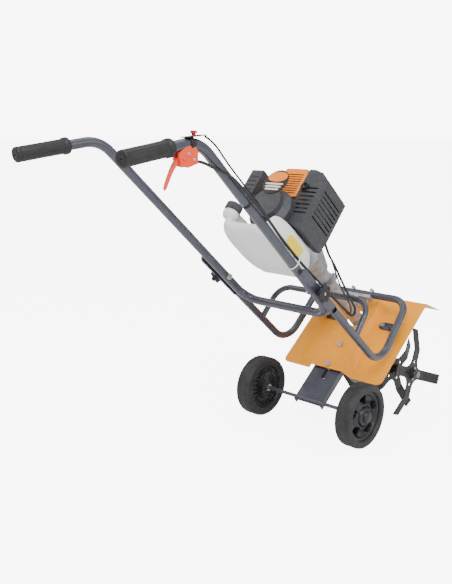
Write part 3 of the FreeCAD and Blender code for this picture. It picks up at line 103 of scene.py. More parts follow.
def shell(name, grid, wrap_rows=False):
    """A mesh over a grid of points. Open ends are closed by fans to their middles, and faces turn outward."""
    rows, cols, _ = grid.shape
    points = grid.reshape(-1, 3)
    faces = [grid_faces(rows, cols, wrap_rows)]
    if not wrap_rows:
        ring = np.arange(cols)
        points = np.vstack([points, grid[0].mean(0), grid[-1].mean(0)])
        first, last = rows * cols, rows * cols + 1
        after = np.roll(ring, -1)
        faces.append(np.stack([np.full(cols, first), ring, after], -1))
        faces.append(np.stack([np.full(cols, last), (rows - 1) * cols + after, (rows - 1) * cols + ring], -1))
    middle = points.mean(0)
    if volume_of(points - middle, faces) < 0:
        faces = [face[:, ::-1] for face in faces]
    mesh = bpy.data.meshes.new(name)
    mesh.from_pydata(points.tolist(), [], [row for face in faces for row in face.tolist()])
    mesh.polygons.foreach_set("use_smooth", np.ones(len(mesh.polygons), bool))
    mesh.update()
    thing = bpy.data.objects.new(name, mesh)
    bpy.context.scene.collection.objects.link(thing)
    return thing


def joined(name, things):
    """Several finished meshes put together as one piece, the corners of each numbered on from the last."""
    points, faces, start = [], [], 0
    for thing in things:
        mesh = thing.data
        co = np.empty(len(mesh.vertices) * 3)
        mesh.vertices.foreach_get("co", co)
        points.append(co.reshape(-1, 3))
        corners = np.empty(len(mesh.loops), int)
        mesh.loops.foreach_get("vertex_index", corners)
        firsts = np.empty(len(mesh.polygons), int)
        mesh.polygons.foreach_get("loop_start", firsts)
        faces += [face.tolist() for face in np.split(corners + start, firsts[1:])]
        start += len(mesh.vertices)
        bpy.data.objects.remove(thing)
        bpy.data.meshes.remove(mesh)
    mesh = bpy.data.meshes.new(name)
    mesh.from_pydata(np.vstack(points).tolist(), [], faces)
    mesh.polygons.foreach_set("use_smooth", np.ones(len(mesh.polygons), bool))
    thing = bpy.data.objects.new(name, mesh)
    bpy.context.scene.collection.objects.link(thing)
    return thing


def axes_for(along):
    """The line's unit direction, and two more square to it and to each other."""
    along = np.asarray(along, float) / np.linalg.norm(along)
    side = np.cross(along, [1, 0, 0] if abs(along[0]) < 0.9 else [0, 1, 0])
    side /= np.linalg.norm(side)
    return along, side, np.cross(along, side)


def all_round(steps):
    """Evenly spaced angles round a full turn, without the first one again at its end."""
    return np.linspace(0, 2 * math.pi, steps, endpoint=False)


def turned(foot, along, profile, steps=64, waves=0, depth=0.0, wave_from=0.0):
    """A turned solid: each (height, radius) of the profile, in millimetres, is carried round the axis. Where
    the radius is over wave_from, it is reduced by depth * (1 - cos(waves * angle)) / 2, both in metres."""
    along, side, other = axes_for(along)
    angle = all_round(steps)
    heights, radii = (MM * np.array(profile, float)).T[..., None]
    reach = radii - depth * (radii > wave_from) * (0.5 - 0.5 * np.cos(waves * angle))
    ring = np.cos(angle)[None, :, None] * side + np.sin(angle)[None, :, None] * other
    return np.asarray(foot, float) + heights[..., None] * along + reach[..., None] * ring


def tube_grid(path, radius, steps=16):
    """A round section carried along a path, square to it. Its first side is also square to the direction that
    the path runs along least."""
    path = np.asarray(path, float)
    along = np.gradient(path, axis=0)
    along /= np.linalg.norm(along, axis=1)[:, None]
    calm = np.linalg.eigh(along.T @ along)[1][:, 0]
    side = np.cross(along, calm)
    side /= np.linalg.norm(side, axis=1)[:, None]
    other = np.cross(along, side)
    angle = all_round(steps)
    reach = np.broadcast_to(np.asarray(radius, float), (len(path),))[:, None, None]
    ring = np.cos(angle)[None, :, None] * side[:, None] + np.sin(angle)[None, :, None] * other[:, None]
    return path[:, None] + reach * ring


def smooth_line(points, name="line", resolution=10):
    """The points of the smooth line that a route steers: a quadratic B-spline clamped at both ends."""
    curve = bpy.data.curves.new(name, "CURVE")
    curve.dimensions = "3D"
    curve.resolution_u = resolution
    spline = curve.splines.new("NURBS")
    spline.points.add(len(points) - 1)
    spline.points.foreach_set("co", np.hstack([points, np.ones((len(points), 1))]).ravel())
    spline.order_u = 3
    spline.use_endpoint_u = True
    holder = bpy.data.objects.new(name, curve)
    bpy.context.scene.collection.objects.link(holder)
    bpy.context.view_layer.update()
    mesh = bpy.data.meshes.new_from_object(holder)
    co = np.empty(len(mesh.vertices) * 3)
    mesh.vertices.foreach_get("co", co)
    bpy.data.meshes.remove(mesh)
    bpy.data.objects.remove(holder)
    bpy.data.curves.remove(curve)
    return co.reshape(-1, 3)


def smoothstep(low, high, x):
    """0 below low, 1 above high, and 3t^2 - 2t^3 between."""
    t = np.clip((x - low) / (high - low), 0, 1)
    return t * t * (3 - 2 * t)


def squared_off(wave, power):
    """A sine or cosine raised to a power with its sign kept, which squares off a round section."""
    return np.sign(wave) * np.abs(wave) ** power


def side_name(side):
    """left for -1 and right for 1."""
    return "left" if side < 0 else "right"


# ---------------------------------------------------------------- camera

def aimed(place, line):
    """The placing of a camera or lamp that looks along a line."""
    return Matrix.Translation(place) @ line.to_track_quat("-Z", "Y").to_matrix().to_4x4()


LENS_AT = Vector((1.1733, -1.55, 0.8026))
LENS_LINE = Vector((-0.6759, 0.7061, -0.2112))
camera = bpy.data.cameras.new("camera")
camera.lens = 45.92
camera.sensor_width = 36
camera_holder = bpy.data.objects.new("camera", camera)
camera_holder.matrix_world = aimed(LENS_AT, LENS_LINE)
bpy.context.scene.collection.objects.link(camera_holder)
bpy.context.scene.camera = camera_holder

# ---------------------------------------------------------------- finishes

def new_group(name, inputs, outputs):
    """An empty shader group with its named sockets."""
    group = bpy.data.node_groups.new(name, "ShaderNodeTree")
    for label, kind, value in inputs:
        socket = group.interface.new_socket(label, in_out="INPUT", socket_type=kind)
        socket.default_value = value
    for label, kind in outputs:
        group.interface.new_socket(label, in_out="OUTPUT", socket_type=kind)
    return group, group.nodes.new("NodeGroupInput"), group.nodes.new("NodeGroupOutput")


SLOWER = 12.0  # how many times larger the slow mottling is than the fine pits
NOISE_LOW, NOISE_HIGH = 0.3, 0.7  # most of what a noise gives lies between these


def grain_group():
    """Fine pits and slow mottling: two noises of the object's coordinates, SLOWER times apart in scale."""
    group, given, made = new_group("grain", [
        ("Scale", "NodeSocketFloat", 200.0), ("Stretch", "NodeSocketVector", (1, 1, 1))],
        [("Fine", "NodeSocketFloat"), ("Slow", "NodeSocketFloat")])
    nodes, links = group.nodes, group.links
    place = nodes.new("ShaderNodeTexCoord")
    turn = nodes.new("ShaderNodeMapping")
    links.new(place.outputs["Object"], turn.inputs["Vector"])
    links.new(given.outputs["Stretch"], turn.inputs["Scale"])
    fine, slow = nodes.new("ShaderNodeTexNoise"), nodes.new("ShaderNodeTexNoise")
    part = nodes.new("ShaderNodeMath")
    part.operation = "DIVIDE"
    part.inputs[1].default_value = SLOWER
    links.new(given.outputs["Scale"], fine.inputs["Scale"])
    links.new(given.outputs["Scale"], part.inputs[0])
    links.new(part.outputs[0], slow.inputs["Scale"])
    for noise, detail in ((fine, 3.0), (slow, 5.0)):
        noise.inputs["Detail"].default_value = detail
        links.new(turn.outputs["Vector"], noise.inputs["Vector"])
    links.new(fine.outputs["Fac"], made.inputs["Fine"])
    links.new(slow.outputs["Fac"], made.inputs["Slow"])
    return group


def dust_group():
    """Dust colour laid over the base where the surface faces up and a cloudy noise is high."""
    group, given, made = new_group("dust", [
        ("Base", "NodeSocketColor", (0.5, 0.5, 0.5, 1)),
        ("Dust", "NodeSocketColor", (0.45, 0.42, 0.38, 1)),
        ("Amount", "NodeSocketFloat", 0.1), ("Cloud", "NodeSocketFloat", 0.5)],
        [("Colour", "NodeSocketColor")])
    nodes, links = group.nodes, group.links
    normal = nodes.new("ShaderNodeNewGeometry")
    split = nodes.new("ShaderNodeSeparateXYZ")
    links.new(normal.outputs["Normal"], split.inputs[0])
    upward = nodes.new("ShaderNodeMapRange")
    upward.inputs["From Min"].default_value = -0.2
    links.new(split.outputs["Z"], upward.inputs["Value"])
    cloud = nodes.new("ShaderNodeMath")
    cloud.operation = "MULTIPLY"
    links.new(upward.outputs[0], cloud.inputs[0])
    links.new(given.outputs["Cloud"], cloud.inputs[1])
    share = nodes.new("ShaderNodeMath")
    share.operation = "MULTIPLY"
    links.new(cloud.outputs[0], share.inputs[0])
    links.new(given.outputs["Amount"], share.inputs[1])
    mix = nodes.new("ShaderNodeMix")
    mix.data_type = "RGBA"
    links.new(share.outputs[0], mix.inputs[0])
    links.new(given.outputs["Base"], mix.inputs[6])
    links.new(given.outputs["Dust"], mix.inputs[7])
    links.new(mix.outputs[2], made.inputs["Colour"])
    return group


def scuff_group():
    """Thin handling marks: a stretched noise kept only near its middle value."""
    group, given, made = new_group("scuffs", [
        ("Scale", "NodeSocketFloat", 60.0), ("Width", "NodeSocketFloat", 0.02)],
        [("Marks", "NodeSocketFloat")])
    nodes, links = group.nodes, group.links
    place = nodes.new("ShaderNodeTexCoord")
    turn = nodes.new("ShaderNodeMapping")
    turn.inputs["Scale"].default_value = (1.0, 0.25, 3.0)
    turn.inputs["Rotation"].default_value = (0.4, 0.7, 0.2)
    links.new(place.outputs["Object"], turn.inputs["Vector"])
    noise = nodes.new("ShaderNodeTexNoise")
    noise.inputs["Detail"].default_value = 6.0
    noise.inputs["Distortion"].default_value = 0.6
    links.new(turn.outputs["Vector"], noise.inputs["Vector"])
    links.new(given.outputs["Scale"], noise.inputs["Scale"])
    close = nodes.new("ShaderNodeMath")
    close.operation = "COMPARE"
    close.inputs[1].default_value = 0.5
    links.new(noise.outputs["Fac"], close.inputs[0])
    links.new(given.outputs["Width"], close.inputs[2])
    links.new(close.outputs[0], made.inputs["Marks"])
    return group


GRAIN, DUST, SCUFFS = grain_group(), dust_group(), scuff_group()


def srgb(red, green, blue):
    """A screen colour of 0 to 255 as the linear colour that the shader takes."""
    c = np.array([red, green, blue]) / 255.0
    return (*np.where(c < 0.04045, c / 12.92, ((c + 0.055) / 1.055) ** 2.4), 1.0)


def finish(name, dark, light, rough=(0.4, 0.55), grain=300.0, relief=0.1, depth=0.0003, dust=0.05, metal=0.0,
           coat=0.0, coat_rough=0.1, stretch=(1, 1, 1), marks=0.0, see_through=0.0, gloss=0.5, under=0.0):
    """A surface: slow mottling between two shades, dust where it faces up, grain in its relief and roughness,
    and faint handling marks that add to its roughness."""
    material = bpy.data.materials.new(name)
    material.use_nodes = True
    nodes, links = material.node_tree.nodes, material.node_tree.links
    shader = nodes["Principled BSDF"]
    grained = nodes.new("ShaderNodeGroup")
    grained.node_tree = GRAIN
    grained.inputs["Scale"].default_value = grain
    grained.inputs["Stretch"].default_value = stretch
    spread = nodes.new("ShaderNodeMapRange")
    spread.inputs["From Min"].default_value = NOISE_LOW
    spread.inputs["From Max"].default_value = NOISE_HIGH
    links.new(grained.outputs["Slow"], spread.inputs["Value"])
    shade = nodes.new("ShaderNodeMix")
    shade.data_type = "RGBA"
    shade.inputs[6].default_value = dark
    shade.inputs[7].default_value = light
    links.new(spread.outputs[0], shade.inputs[0])
    dusted = nodes.new("ShaderNodeGroup")
    dusted.node_tree = DUST
    dusted.inputs["Amount"].default_value = dust
    links.new(shade.outputs[2], dusted.inputs["Base"])
    links.new(spread.outputs[0], dusted.inputs["Cloud"])
    links.new(dusted.outputs["Colour"], shader.inputs["Base Color"])
    worn = nodes.new("ShaderNodeGroup")
    worn.node_tree = SCUFFS
    sheen = nodes.new("ShaderNodeMapRange")
    sheen.inputs["From Min"].default_value = NOISE_LOW
    sheen.inputs["From Max"].default_value = NOISE_HIGH
    sheen.inputs["To Min"].default_value = rough[0]
    sheen.inputs["To Max"].default_value = rough[1]
    links.new(grained.outputs["Fine"], sheen.inputs["Value"])
    rub = nodes.new("ShaderNodeMath")
    rub.operation = "MULTIPLY_ADD"
    rub.inputs[1].default_value = marks
    links.new(worn.outputs["Marks"], rub.inputs[0])
    links.new(sheen.outputs[0], rub.inputs[2])
    links.new(rub.outputs[0], shader.inputs["Roughness"])
    bump = nodes.new("ShaderNodeBump")
    bump.inputs["Strength"].default_value = relief
    bump.inputs["Distance"].default_value = depth
    links.new(grained.outputs["Fine"], bump.inputs["Height"])
    links.new(bump.outputs["Normal"], shader.inputs["Normal"])
    shader.inputs["Metallic"].default_value = metal
    shader.inputs["Coat Weight"].default_value = coat
    shader.inputs["Coat Roughness"].default_value = coat_rough
    shader.inputs["Transmission Weight"].default_value = see_through
    shader.inputs["Specular IOR Level"].default_value = gloss
    shader.inputs["Subsurface Weight"].default_value = under
    shader.inputs["Subsurface Scale"].default_value = 0.01
    return material


frame_paint = finish("slate_frame_paint", srgb(42, 44, 58), srgb(54, 56, 71), (0.32, 0.42), 420, 0.12,
                     0.0002, 0.008, coat=0.7, coat_rough=0.12, marks=0.03)
guard_paint = finish("orange_guard_paint", (0.97, 0.34, 0.002, 1), (1.0, 0.38, 0.003, 1), (0.3, 0.38),
                     350, 0.06, 0.0002, 0.004, coat=0.25, coat_rough=0.12, marks=0.02, gloss=0.3)
tine_paint = finish("black_tine_paint", srgb(22, 22, 25), srgb(36, 36, 40), (0.38, 0.55), 260, 0.2,
                    0.0003, 0.012, marks=0.1)
zinc = finish("zinc_plate", srgb(170, 172, 178), srgb(205, 206, 210), (0.22, 0.36), 500, 0.08, 0.0001,
              0.02, metal=1.0, marks=0.06)
shaft_steel = finish("turned_steel", srgb(120, 122, 126), srgb(158, 160, 164), (0.28, 0.42), 300, 0.1,
                     0.0001, 0.03, metal=1.0, stretch=(8, 1, 1))
axle_steel = finish("grey_axle", srgb(66, 67, 78), srgb(88, 89, 98), (0.34, 0.46), 300, 0.08, 0.0001,
                    0.03, metal=0.35)
bronze = finish("gear_bronze", srgb(150, 108, 52), srgb(184, 138, 74), (0.3, 0.42), 260, 0.1, 0.0001,
                0.02, metal=1.0)
cast_metal = finish("cast_aluminium", srgb(150, 151, 155), srgb(192, 193, 196), (0.42, 0.58), 700, 0.35,
                    0.0004, 0.05, metal=0.75)
engine_grey = finish("grey_moulding", srgb(48, 49, 54), srgb(62, 63, 68), (0.46, 0.6), 1300, 0.25, 0.0002,
                     0.012)
orange_moulding = finish("orange_moulding", (0.95, 0.24, 0.002, 1), (1.0, 0.28, 0.003, 1), (0.34, 0.44),
                         900, 0.1, 0.0002, 0.004, coat=0.2)
black_moulding = finish("black_moulding", srgb(14, 14, 15), srgb(24, 24, 26), (0.42, 0.56), 1200, 0.2,
                        0.0002, 0.008)
tank_plastic = finish("milky_tank", srgb(243, 244, 242), srgb(252, 252, 250), (0.24, 0.34), 500, 0.08,
                      0.0002, 0.01, see_through=0.08, under=0.3)
wheel_plastic = finish("wheel_plastic", srgb(22, 23, 26), srgb(34, 35, 38), (0.34, 0.46), 800, 0.12,
                       0.0002, 0.01)
tyre_rubber = finish("tyre_rubber", srgb(26, 27, 29), srgb(40, 41, 43), (0.5, 0.64), 700, 0.2, 0.0002, 0.015)
grip_rubber = finish("grip_rubber", srgb(16, 17, 18), srgb(27, 28, 29), (0.46, 0.6), 900, 0.25, 0.0002, 0.01)
red_moulding = finish("red_moulding", (0.86, 0.045, 0.006, 1), (0.95, 0.06, 0.01, 1), (0.3, 0.4), 900,
                      0.08, 0.0002, 0.004, coat=0.25)
button_red = finish("button_red", (0.5, 0.008, 0.02, 1), (0.62, 0.012, 0.03, 1), (0.28, 0.36), 900, 0.05,
                    0.0001, 0.01)
cord_sheath = finish("cord_sheath", srgb(12, 13, 14), srgb(22, 23, 25), (0.4, 0.52), 1500, 0.15, 0.0001,
                     0.006)
fuel_rubber = finish("fuel_hose_rubber", srgb(22, 22, 24), srgb(34, 34, 36), (0.34, 0.46), 1500, 0.12,
                     0.0001, 0.005)
label_yellow = finish("label_yellow", (1.0, 0.68, 0.001, 1), (1.0, 0.76, 0.002, 1), (0.3, 0.36), 800,
                      0.03, 0.0001, 0.01)
label_cream = finish("label_cream", srgb(236, 226, 200), srgb(246, 238, 214), (0.34, 0.42), 800, 0.03,
                     0.0001, 0.01)
white_nylon = finish("white_nylon", srgb(226, 228, 230), srgb(244, 245, 246), (0.34, 0.44), 800, 0.06,
                     0.0001, 0.01, under=0.2)

FINISH_OF = {
    frame_paint: ("wheel_bracket", "loop_frame", "brace_loop", "handle_tube", "guard_tabs"),
    guard_paint: ("tine_guard",),
    tine_paint: ("outer_left_star", "inner_left_star", "inner_right_star", "outer_right_star"),
    zinc: ("guard_bolts", "frame_bolts", "knob_bolts", "axle_collars", "tine_pins", "spark_plug", "muffler"),
    shaft_steel: ("worm_shaft", "crankshaft", "gear_bearings", "connecting_rod", "flywheel", "clutch_drum",
                  "clutch_shoes", "piston", "tine_shaft", "drive_tube"),
    axle_steel: ("axle",),
    bronze: ("worm_wheel",),
    cast_metal: ("left_gear_case", "right_gear_case", "drive_neck", "tube_clamp", "clutch_housing",
                 "crankcase", "cylinder", "carburettor"),
    engine_grey: ("engine_shroud", "starter_cover", "air_filter_cover", "fuel_cap"),
    orange_moulding: ("top_cover",),
    black_moulding: ("left_knob", "right_knob", "plug_boot", "choke_lever", "starter_handle", "switch_strap"),
    tank_plastic: ("fuel_tank",),
    wheel_plastic: ("left_wheel", "right_wheel"),
    grip_rubber: ("left_grip", "right_grip"),
    red_moulding: ("throttle_housing", "throttle_lever"),
    button_red: ("stop_button",),
    cord_sheath: ("throttle_cable", "switch_wire"),
    fuel_rubber: ("fuel_hoses",),
}
for material, labels in FINISH_OF.items():
    for label in labels:
        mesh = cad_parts[label].data
        mesh.materials.clear()
        mesh.materials.append(material)


def settle(thing, material, body, slot, *replaced):
    """Gives a finished piece its material and the body it rides on, and hides the CAD nodes it replaces. Its
    slot is not used.
    """
    thing.data.materials.append(material)
    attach(thing, body)
    if replaced:
        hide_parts(*replaced)
    return thing


# ---------------------------------------------------------------- cords

CABLE_ROUTE = MM * np.array([
    (156.5, -586.3, 748.4), (156.5, -558.3, 748.4), (162.0, -520.5, 730.8), (167.0, -485.3, 718.9),
    (168.0, -442.7, 683.9), (162.0, -382.0, 639.2), (149.0, -309.6, 577.6), (147.0, -230.5, 508.5),
    (145.0, -158.0, 454.3), (141.0, -93.7, 406.1), (137.0, -36.0, 365.5), (131.0, 5.2, 337.9),
    (119.0, 39.9, 348.7), (92.0, 43.4, 382.9), (62.0, 50.3, 418.1), (52.0, 38.1, 452.7),
    (48.0, -3.5, 505.3), (43.0, -4.8, 546.3), (18.0, -9.9, 582.8), (-22.0, -18.7, 597.1),
    (-50.0, -39.6, 603.6), (-58.0, -61.0, 611.7)])
WIRE_ROUTE = MM * np.array([
    (159.1, -547.8, 793.1), (161.1, -526.0, 782.7), (162.0, -490.6, 742.7), (163.0, -447.0, 701.4),
    (157.0, -377.3, 644.3), (143.0, -308.9, 578.3), (141.0, -229.1, 509.9), (138.0, -155.3, 457.2),
    (134.0, -90.3, 409.8), (129.0, -31.9, 369.9), (122.0, 2.2, 339.9), (111.0, 31.9, 354.7),
    (89.0, 32.4, 380.9), (59.0, 40.3, 417.1), (43.0, 40.1, 455.7), (40.0, 10.4, 509.0),
    (34.0, 2.2, 548.2), (12.0, -7.9, 573.0), (-6.0, -29.9, 584.4), (-8.0, -56.3, 577.0)])
HOSE_ROUTES = MM * np.array([
    [(-67.0, -154.2, 558.0), (-67.0, -139.8, 574.4), (-72.0, -118.1, 590.0), (-66.0, -103.4, 603.7),
     (-66.0, -92.9, 615.6)],
    [(-67.0, -136.2, 542.1), (-67.0, -119.1, 561.6), (-60.0, -98.9, 578.5), (-56.0, -89.3, 594.0),
     (-56.0, -80.1, 604.4)]])

CORD_STEPS = 14
HOSE_RADIUS, HOSE_LENGTH = 0.003, 0.085
for label, replaced, route, radius, length in (
        ("throttle_cord", "throttle_cable", CABLE_ROUTE, 0.003, 1.141),
        ("switch_cord", "switch_wire", WIRE_ROUTE, 0.002, 1.058)):
    line = smooth_line(route)
    cord = shell(label, tube_grid(line, radius, CORD_STEPS))
    cord.data.materials.append(cord_sheath)
    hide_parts(replaced)
    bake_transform(cord)

for label, route in zip(("feed_hose", "return_hose"), HOSE_ROUTES):
    line = smooth_line(route)
    hose = settle(shell(label, tube_grid(line, HOSE_RADIUS, CORD_STEPS)), fuel_rubber, "machine",
                  "fuel_rubber", "fuel_hoses")


# ---------------------------------------------------------------- wheels

AXLE_Z = 0.085
TYRE_MIDDLE = 0.169  # out along the axle
TYRE_HALF_WIDTH, TYRE_HALF_DEPTH, TYRE_MEAN_RADIUS = 0.0229, 0.0105, 0.0745
TREAD_PITCH, TREAD_DEPTH = 0.0042, 0.0009
WALL_PITCH, WALL_DEPTH = 0.0035, 0.0006
HUB_BORE, DISC_RADIUS = 0.0052, 0.0672
OUTER_FACE, INNER_FACE, HUB_CAP_FOOT = 0.1835, 0.1475, 0.1885  # out along the axle
CROWN_RADIUS, CROWN_RISE, CROWN_STEP = 0.0245, 0.0075, 0.002
RECESSES, RECESS_RADIUS, RECESS_HALF_LENGTH, RECESS_DEPTH = 5, 0.0445, 0.0132, 0.021
RIBS, PAN_DEPTH, RIB_SINK = 24, 0.0102, 0.0015
HUB_CAP_PROFILE = [(0, 16.5), (3.2, 16.2), (5.6, 15.2), (7.4, 13.2), (8.6, 10.2), (9.3, 6.2), (9.6, 2.0)]


def wheel_points(side, x, r, angle):
    """Points of a wheel from distance out along the axle, radius and angle."""
    x, r, angle = np.broadcast_arrays(x, r, angle)
    return np.stack([side * x, r * np.cos(angle), AXLE_Z + r * np.sin(angle)], -1)


def tyre(side):
    """Tyre: a squared-off round section carried round the axle. Its tread is cut by a cosine of the distance
    across it, and its walls by a cosine of the radius."""
    t = all_round(220)
    x = TYRE_MIDDLE + TYRE_HALF_WIDTH * squared_off(np.cos(t), 0.42)
    r = TYRE_MEAN_RADIUS + TYRE_HALF_DEPTH * squared_off(np.sin(t), 0.55)
    tread = smoothstep(0.0822, 0.0842, r)
    r = r - tread * TREAD_DEPTH * (0.5 + 0.5 * np.cos(2 * math.pi * (x - TYRE_MIDDLE) / TREAD_PITCH))
    wall = smoothstep(0.0218, 0.0226, np.abs(x - TYRE_MIDDLE)) * (r < 0.083)
    cut = wall * WALL_DEPTH * (0.5 + 0.5 * np.cos(2 * math.pi * r / WALL_PITCH))
    x = x - np.sign(x - TYRE_MIDDLE) * cut
    grid = wheel_points(side, x[:, None], r[:, None], all_round(144)[None, :])
    return shell(f"{side_name(side)}_tyre", grid, wrap_rows=True)


def wheel_disc(side):
    """Wheel body: the outer face is a dish with five teardrop recesses between broad spokes round a crown,
    the inner face a deep pan with 24 thin swept ribs, and both are depths over radius and angle."""
    angle = all_round(480)[None, :]
    r = np.concatenate([np.linspace(HUB_BORE, 0.0235, 12), np.linspace(0.0245, 0.031, 8),
                        np.linspace(0.032, 0.0585, 26), np.linspace(0.0595, DISC_RADIUS, 9)])[:, None]
    dish = OUTER_FACE - 0.007 * smoothstep(0.028, 0.046, r) + 0.0072 * smoothstep(0.052, 0.060, r)
    crown = (r < CROWN_RADIUS) * (CROWN_RISE * (1 - smoothstep(0.0, 0.0262, r) ** 2) + CROWN_STEP)
    groove = -0.006 * smoothstep(0.0238, 0.0252, r) * (1 - smoothstep(0.0285, 0.030, r))
    turn = (angle + 0.35) % (2 * math.pi / RECESSES) - math.pi / RECESSES
    past = r - RECESS_RADIUS
    breadth = 0.40 * np.sqrt(np.clip(1 - (past / RECESS_HALF_LENGTH) ** 2, 0, 1)) * (0.8 + 12 * past)
    hollow = smoothstep(0, 0.07, breadth - np.abs(turn - 6 * past))
    spoke_band = smoothstep(0.032, 0.040, r) * (1 - smoothstep(0.054, 0.060, r))
    spoke = 0.0022 * np.cos(turn * RECESSES / 2 + math.pi) * spoke_band
    outer = dish + crown + groove + spoke - RECESS_DEPTH * hollow
    back_r = np.concatenate([[DISC_RADIUS], np.linspace(0.0655, 0.0605, 5), np.linspace(0.0600, 0.0145, 22),
                             np.linspace(0.0135, HUB_BORE, 6)])[:, None]
    swept = angle + 0.5 * np.sin(math.pi * (back_r - 0.014) / 0.046) * (back_r / 0.06)
    near = (swept * RIBS / (2 * math.pi)) % 1.0 - 0.5
    rib = 1 - smoothstep(0.0007, 0.0013, np.abs(near) * 2 * math.pi / RIBS * back_r)
    pan = smoothstep(0.0142, 0.0152, back_r) * (1 - smoothstep(0.0602, 0.0612, back_r))
    inner = INNER_FACE + PAN_DEPTH * pan * (1 - rib) + RIB_SINK * pan * rib
    rows = np.vstack([wheel_points(side, outer, r, angle), wheel_points(side, inner, back_r, angle)])
    return shell(f"{side_name(side)}_disc", rows, wrap_rows=True)


for side in (-1, 1):
    label = side_name(side)
    body = f"{label}_wheel_body"
    settle(tyre(side), tyre_rubber, body, "wheel_plastic", f"{label}_wheel")
    settle(wheel_disc(side), wheel_plastic, body, "wheel_plastic", f"{label}_wheel")
    hub_cap = shell(f"{label}_hub_cap", turned((side * HUB_CAP_FOOT, 0, AXLE_Z), (side, 0, 0),
                                               HUB_CAP_PROFILE, 72))
    settle(hub_cap, wheel_plastic, body, "wheel_plastic")

# ---------------------------------------------------------------- grips, knobs, caps

GRIP_END = np.array([0.1676, -0.75489, 0.75603])
GRIP_LINE = np.array([-0.0733, 0.98706, 0.14259])
GRIP_PROFILE = [
    (3, 1.6), (1.2, 1.8), (0.2, 2.4), (0, 9), (0.4, 14.2), (2, 15.9), (9, 16.0), (10, 15.3), (11.5, 15.9),
    (60, 15.7), (108, 15.9), (109, 15.9), (110, 17.8), (116, 18.0), (119, 18.0), (120, 17.6), (121, 16.8),
    (121, 13.0), (112, 12.6)]
GRIP_FLUTES, GRIP_FLUTE_DEPTH, GRIP_FLUTE_FROM = 16, 0.0005, 0.0145
KNOB_OUT = 0.1619  # from the machine's middle to the knob's foot
KNOB_PROFILE = [
    (0, 8), (0, 14), (1, 16), (9, 22.4), (13, 22.6), (15.5, 21.5), (16.6, 19.5), (17, 16), (17, 7.6),
    (16, 5.2), (12, 4.9), (12, 4.4)]
KNOB_LOBES, KNOB_LOBE_DEPTH, KNOB_LOBE_FROM = 7, 0.0052, 0.0155
CAP_FOOT = on_engine((-70, -108, -44))
CAP_PROFILE = [
    (0, 17.4), (0, 20), (1, 20.9), (15, 20.9), (17.5, 20.6), (19.5, 19), (20.6, 16), (21, 13), (20, 12),
    (20, 4)]
CAP_RIBS, CAP_RIB_DEPTH, CAP_RIB_FROM = 30, 0.0013, 0.0188


def grip(side):
    """Rubber sleeve: a turned profile with a closed, dimpled end and a front flange, fluted lengthwise."""
    mirror = np.array([side, 1, 1])
    grid = turned(GRIP_END * mirror, GRIP_LINE * mirror, GRIP_PROFILE, 96, GRIP_FLUTES, GRIP_FLUTE_DEPTH,
                  GRIP_FLUTE_FROM)
    return shell(f"{side_name(side)}_grip_sleeve", grid)


def knob(side):
    """Clamp knob: a turned profile whose rim is pulled in seven times round, with a hole in its middle."""
    out = np.array([side, 0, 0])
    grid = turned(PIVOT + out * KNOB_OUT, out, KNOB_PROFILE, 140, KNOB_LOBES, KNOB_LOBE_DEPTH, KNOB_LOBE_FROM)
    return shell(f"{side_name(side)}_clamp_knob", grid)


for side in (-1, 1):
    label = side_name(side)
    settle(grip(side), grip_rubber, "handle", "grip_rubber", f"{label}_grip")
    settle(knob(side), black_moulding, f"{label}_knob_body", "black_plastic", f"{label}_knob")

cap_grid = turned(CAP_FOOT, OFF_ENGINE, CAP_PROFILE, 180, CAP_RIBS, CAP_RIB_DEPTH, CAP_RIB_FROM)
settle(shell("ribbed_fuel_cap", cap_grid), engine_grey, "cap", "engine_plastic", "fuel_cap")

# ---------------------------------------------------------------- fuel tank

# Tank sizes in millimetres, in the engine's own directions.
TANK_HALF_WIDTH, TANK_FLAT_WIDTH, TANK_ROUND_END, TANK_END_POWER = 94.6, 62, 33, 2.3
TANK_MIDDLE, TANK_HALF_LENGTH, TANK_TOP_TAPER, TANK_CORNER_POWER = -18, 101, 8, 2 / 3.3
TANK_LOW, TANK_SADDLE, TANK_SADDLE_DROP = -102.5, -68, 36
TANK_SLOPE_SHARE, TANK_LEAST_END = 0.6, 0.0004
NECK_FOOT = on_engine((-70, -106, -66))
NECK_PROFILE = [(0, 10), (3, 17), (12, 21), (18, 20), (23, 17.6), (30, 16.8), (37, 16.6), (37.5, 15.5)]


def tank_shell():
    """Tank: rounded-rectangle sections carried across the machine. They shrink to round ends, their tops drop
    into a saddle under the engine, and their upper front is pulled down into a slope."""
    across = TANK_HALF_WIDTH * np.sin(np.linspace(-math.pi / 2, math.pi / 2, 61))[:, None]
    into_end = np.clip((np.abs(across) - TANK_FLAT_WIDTH) / TANK_ROUND_END, 0, 1)
    shrink = np.clip(1 - into_end ** TANK_END_POWER, TANK_LEAST_END, 1) ** (1 / TANK_END_POWER)
    angle = all_round(120)[None, :]
    along = squared_off(np.cos(angle), TANK_CORNER_POWER)
    up = squared_off(np.sin(angle), TANK_CORNER_POWER)
    top = TANK_SADDLE + TANK_SADDLE_DROP * smoothstep(50, 68, np.abs(across))
    middle, half = (top + TANK_LOW) / 2, (top - TANK_LOW) / 2
    down_line = TANK_MIDDLE + (TANK_HALF_LENGTH - TANK_TOP_TAPER * (1 - up) * 0.5) * shrink * along
    square_to = middle + half * shrink * up
    square_to = square_to - (square_to - TANK_LOW) * TANK_SLOPE_SHARE * smoothstep(30, 92, down_line)
    across = np.broadcast_to(across, down_line.shape)
    return shell("tank_body", on_engine(np.stack([across, down_line, square_to], -1)))


neck = shell("tank_neck", turned(NECK_FOOT, OFF_ENGINE, NECK_PROFILE))
settle(joined("moulded_tank", [tank_shell(), neck]), tank_plastic, "machine", "tank_plastic", "fuel_tank")

# ---------------------------------------------------------------- throttle lever

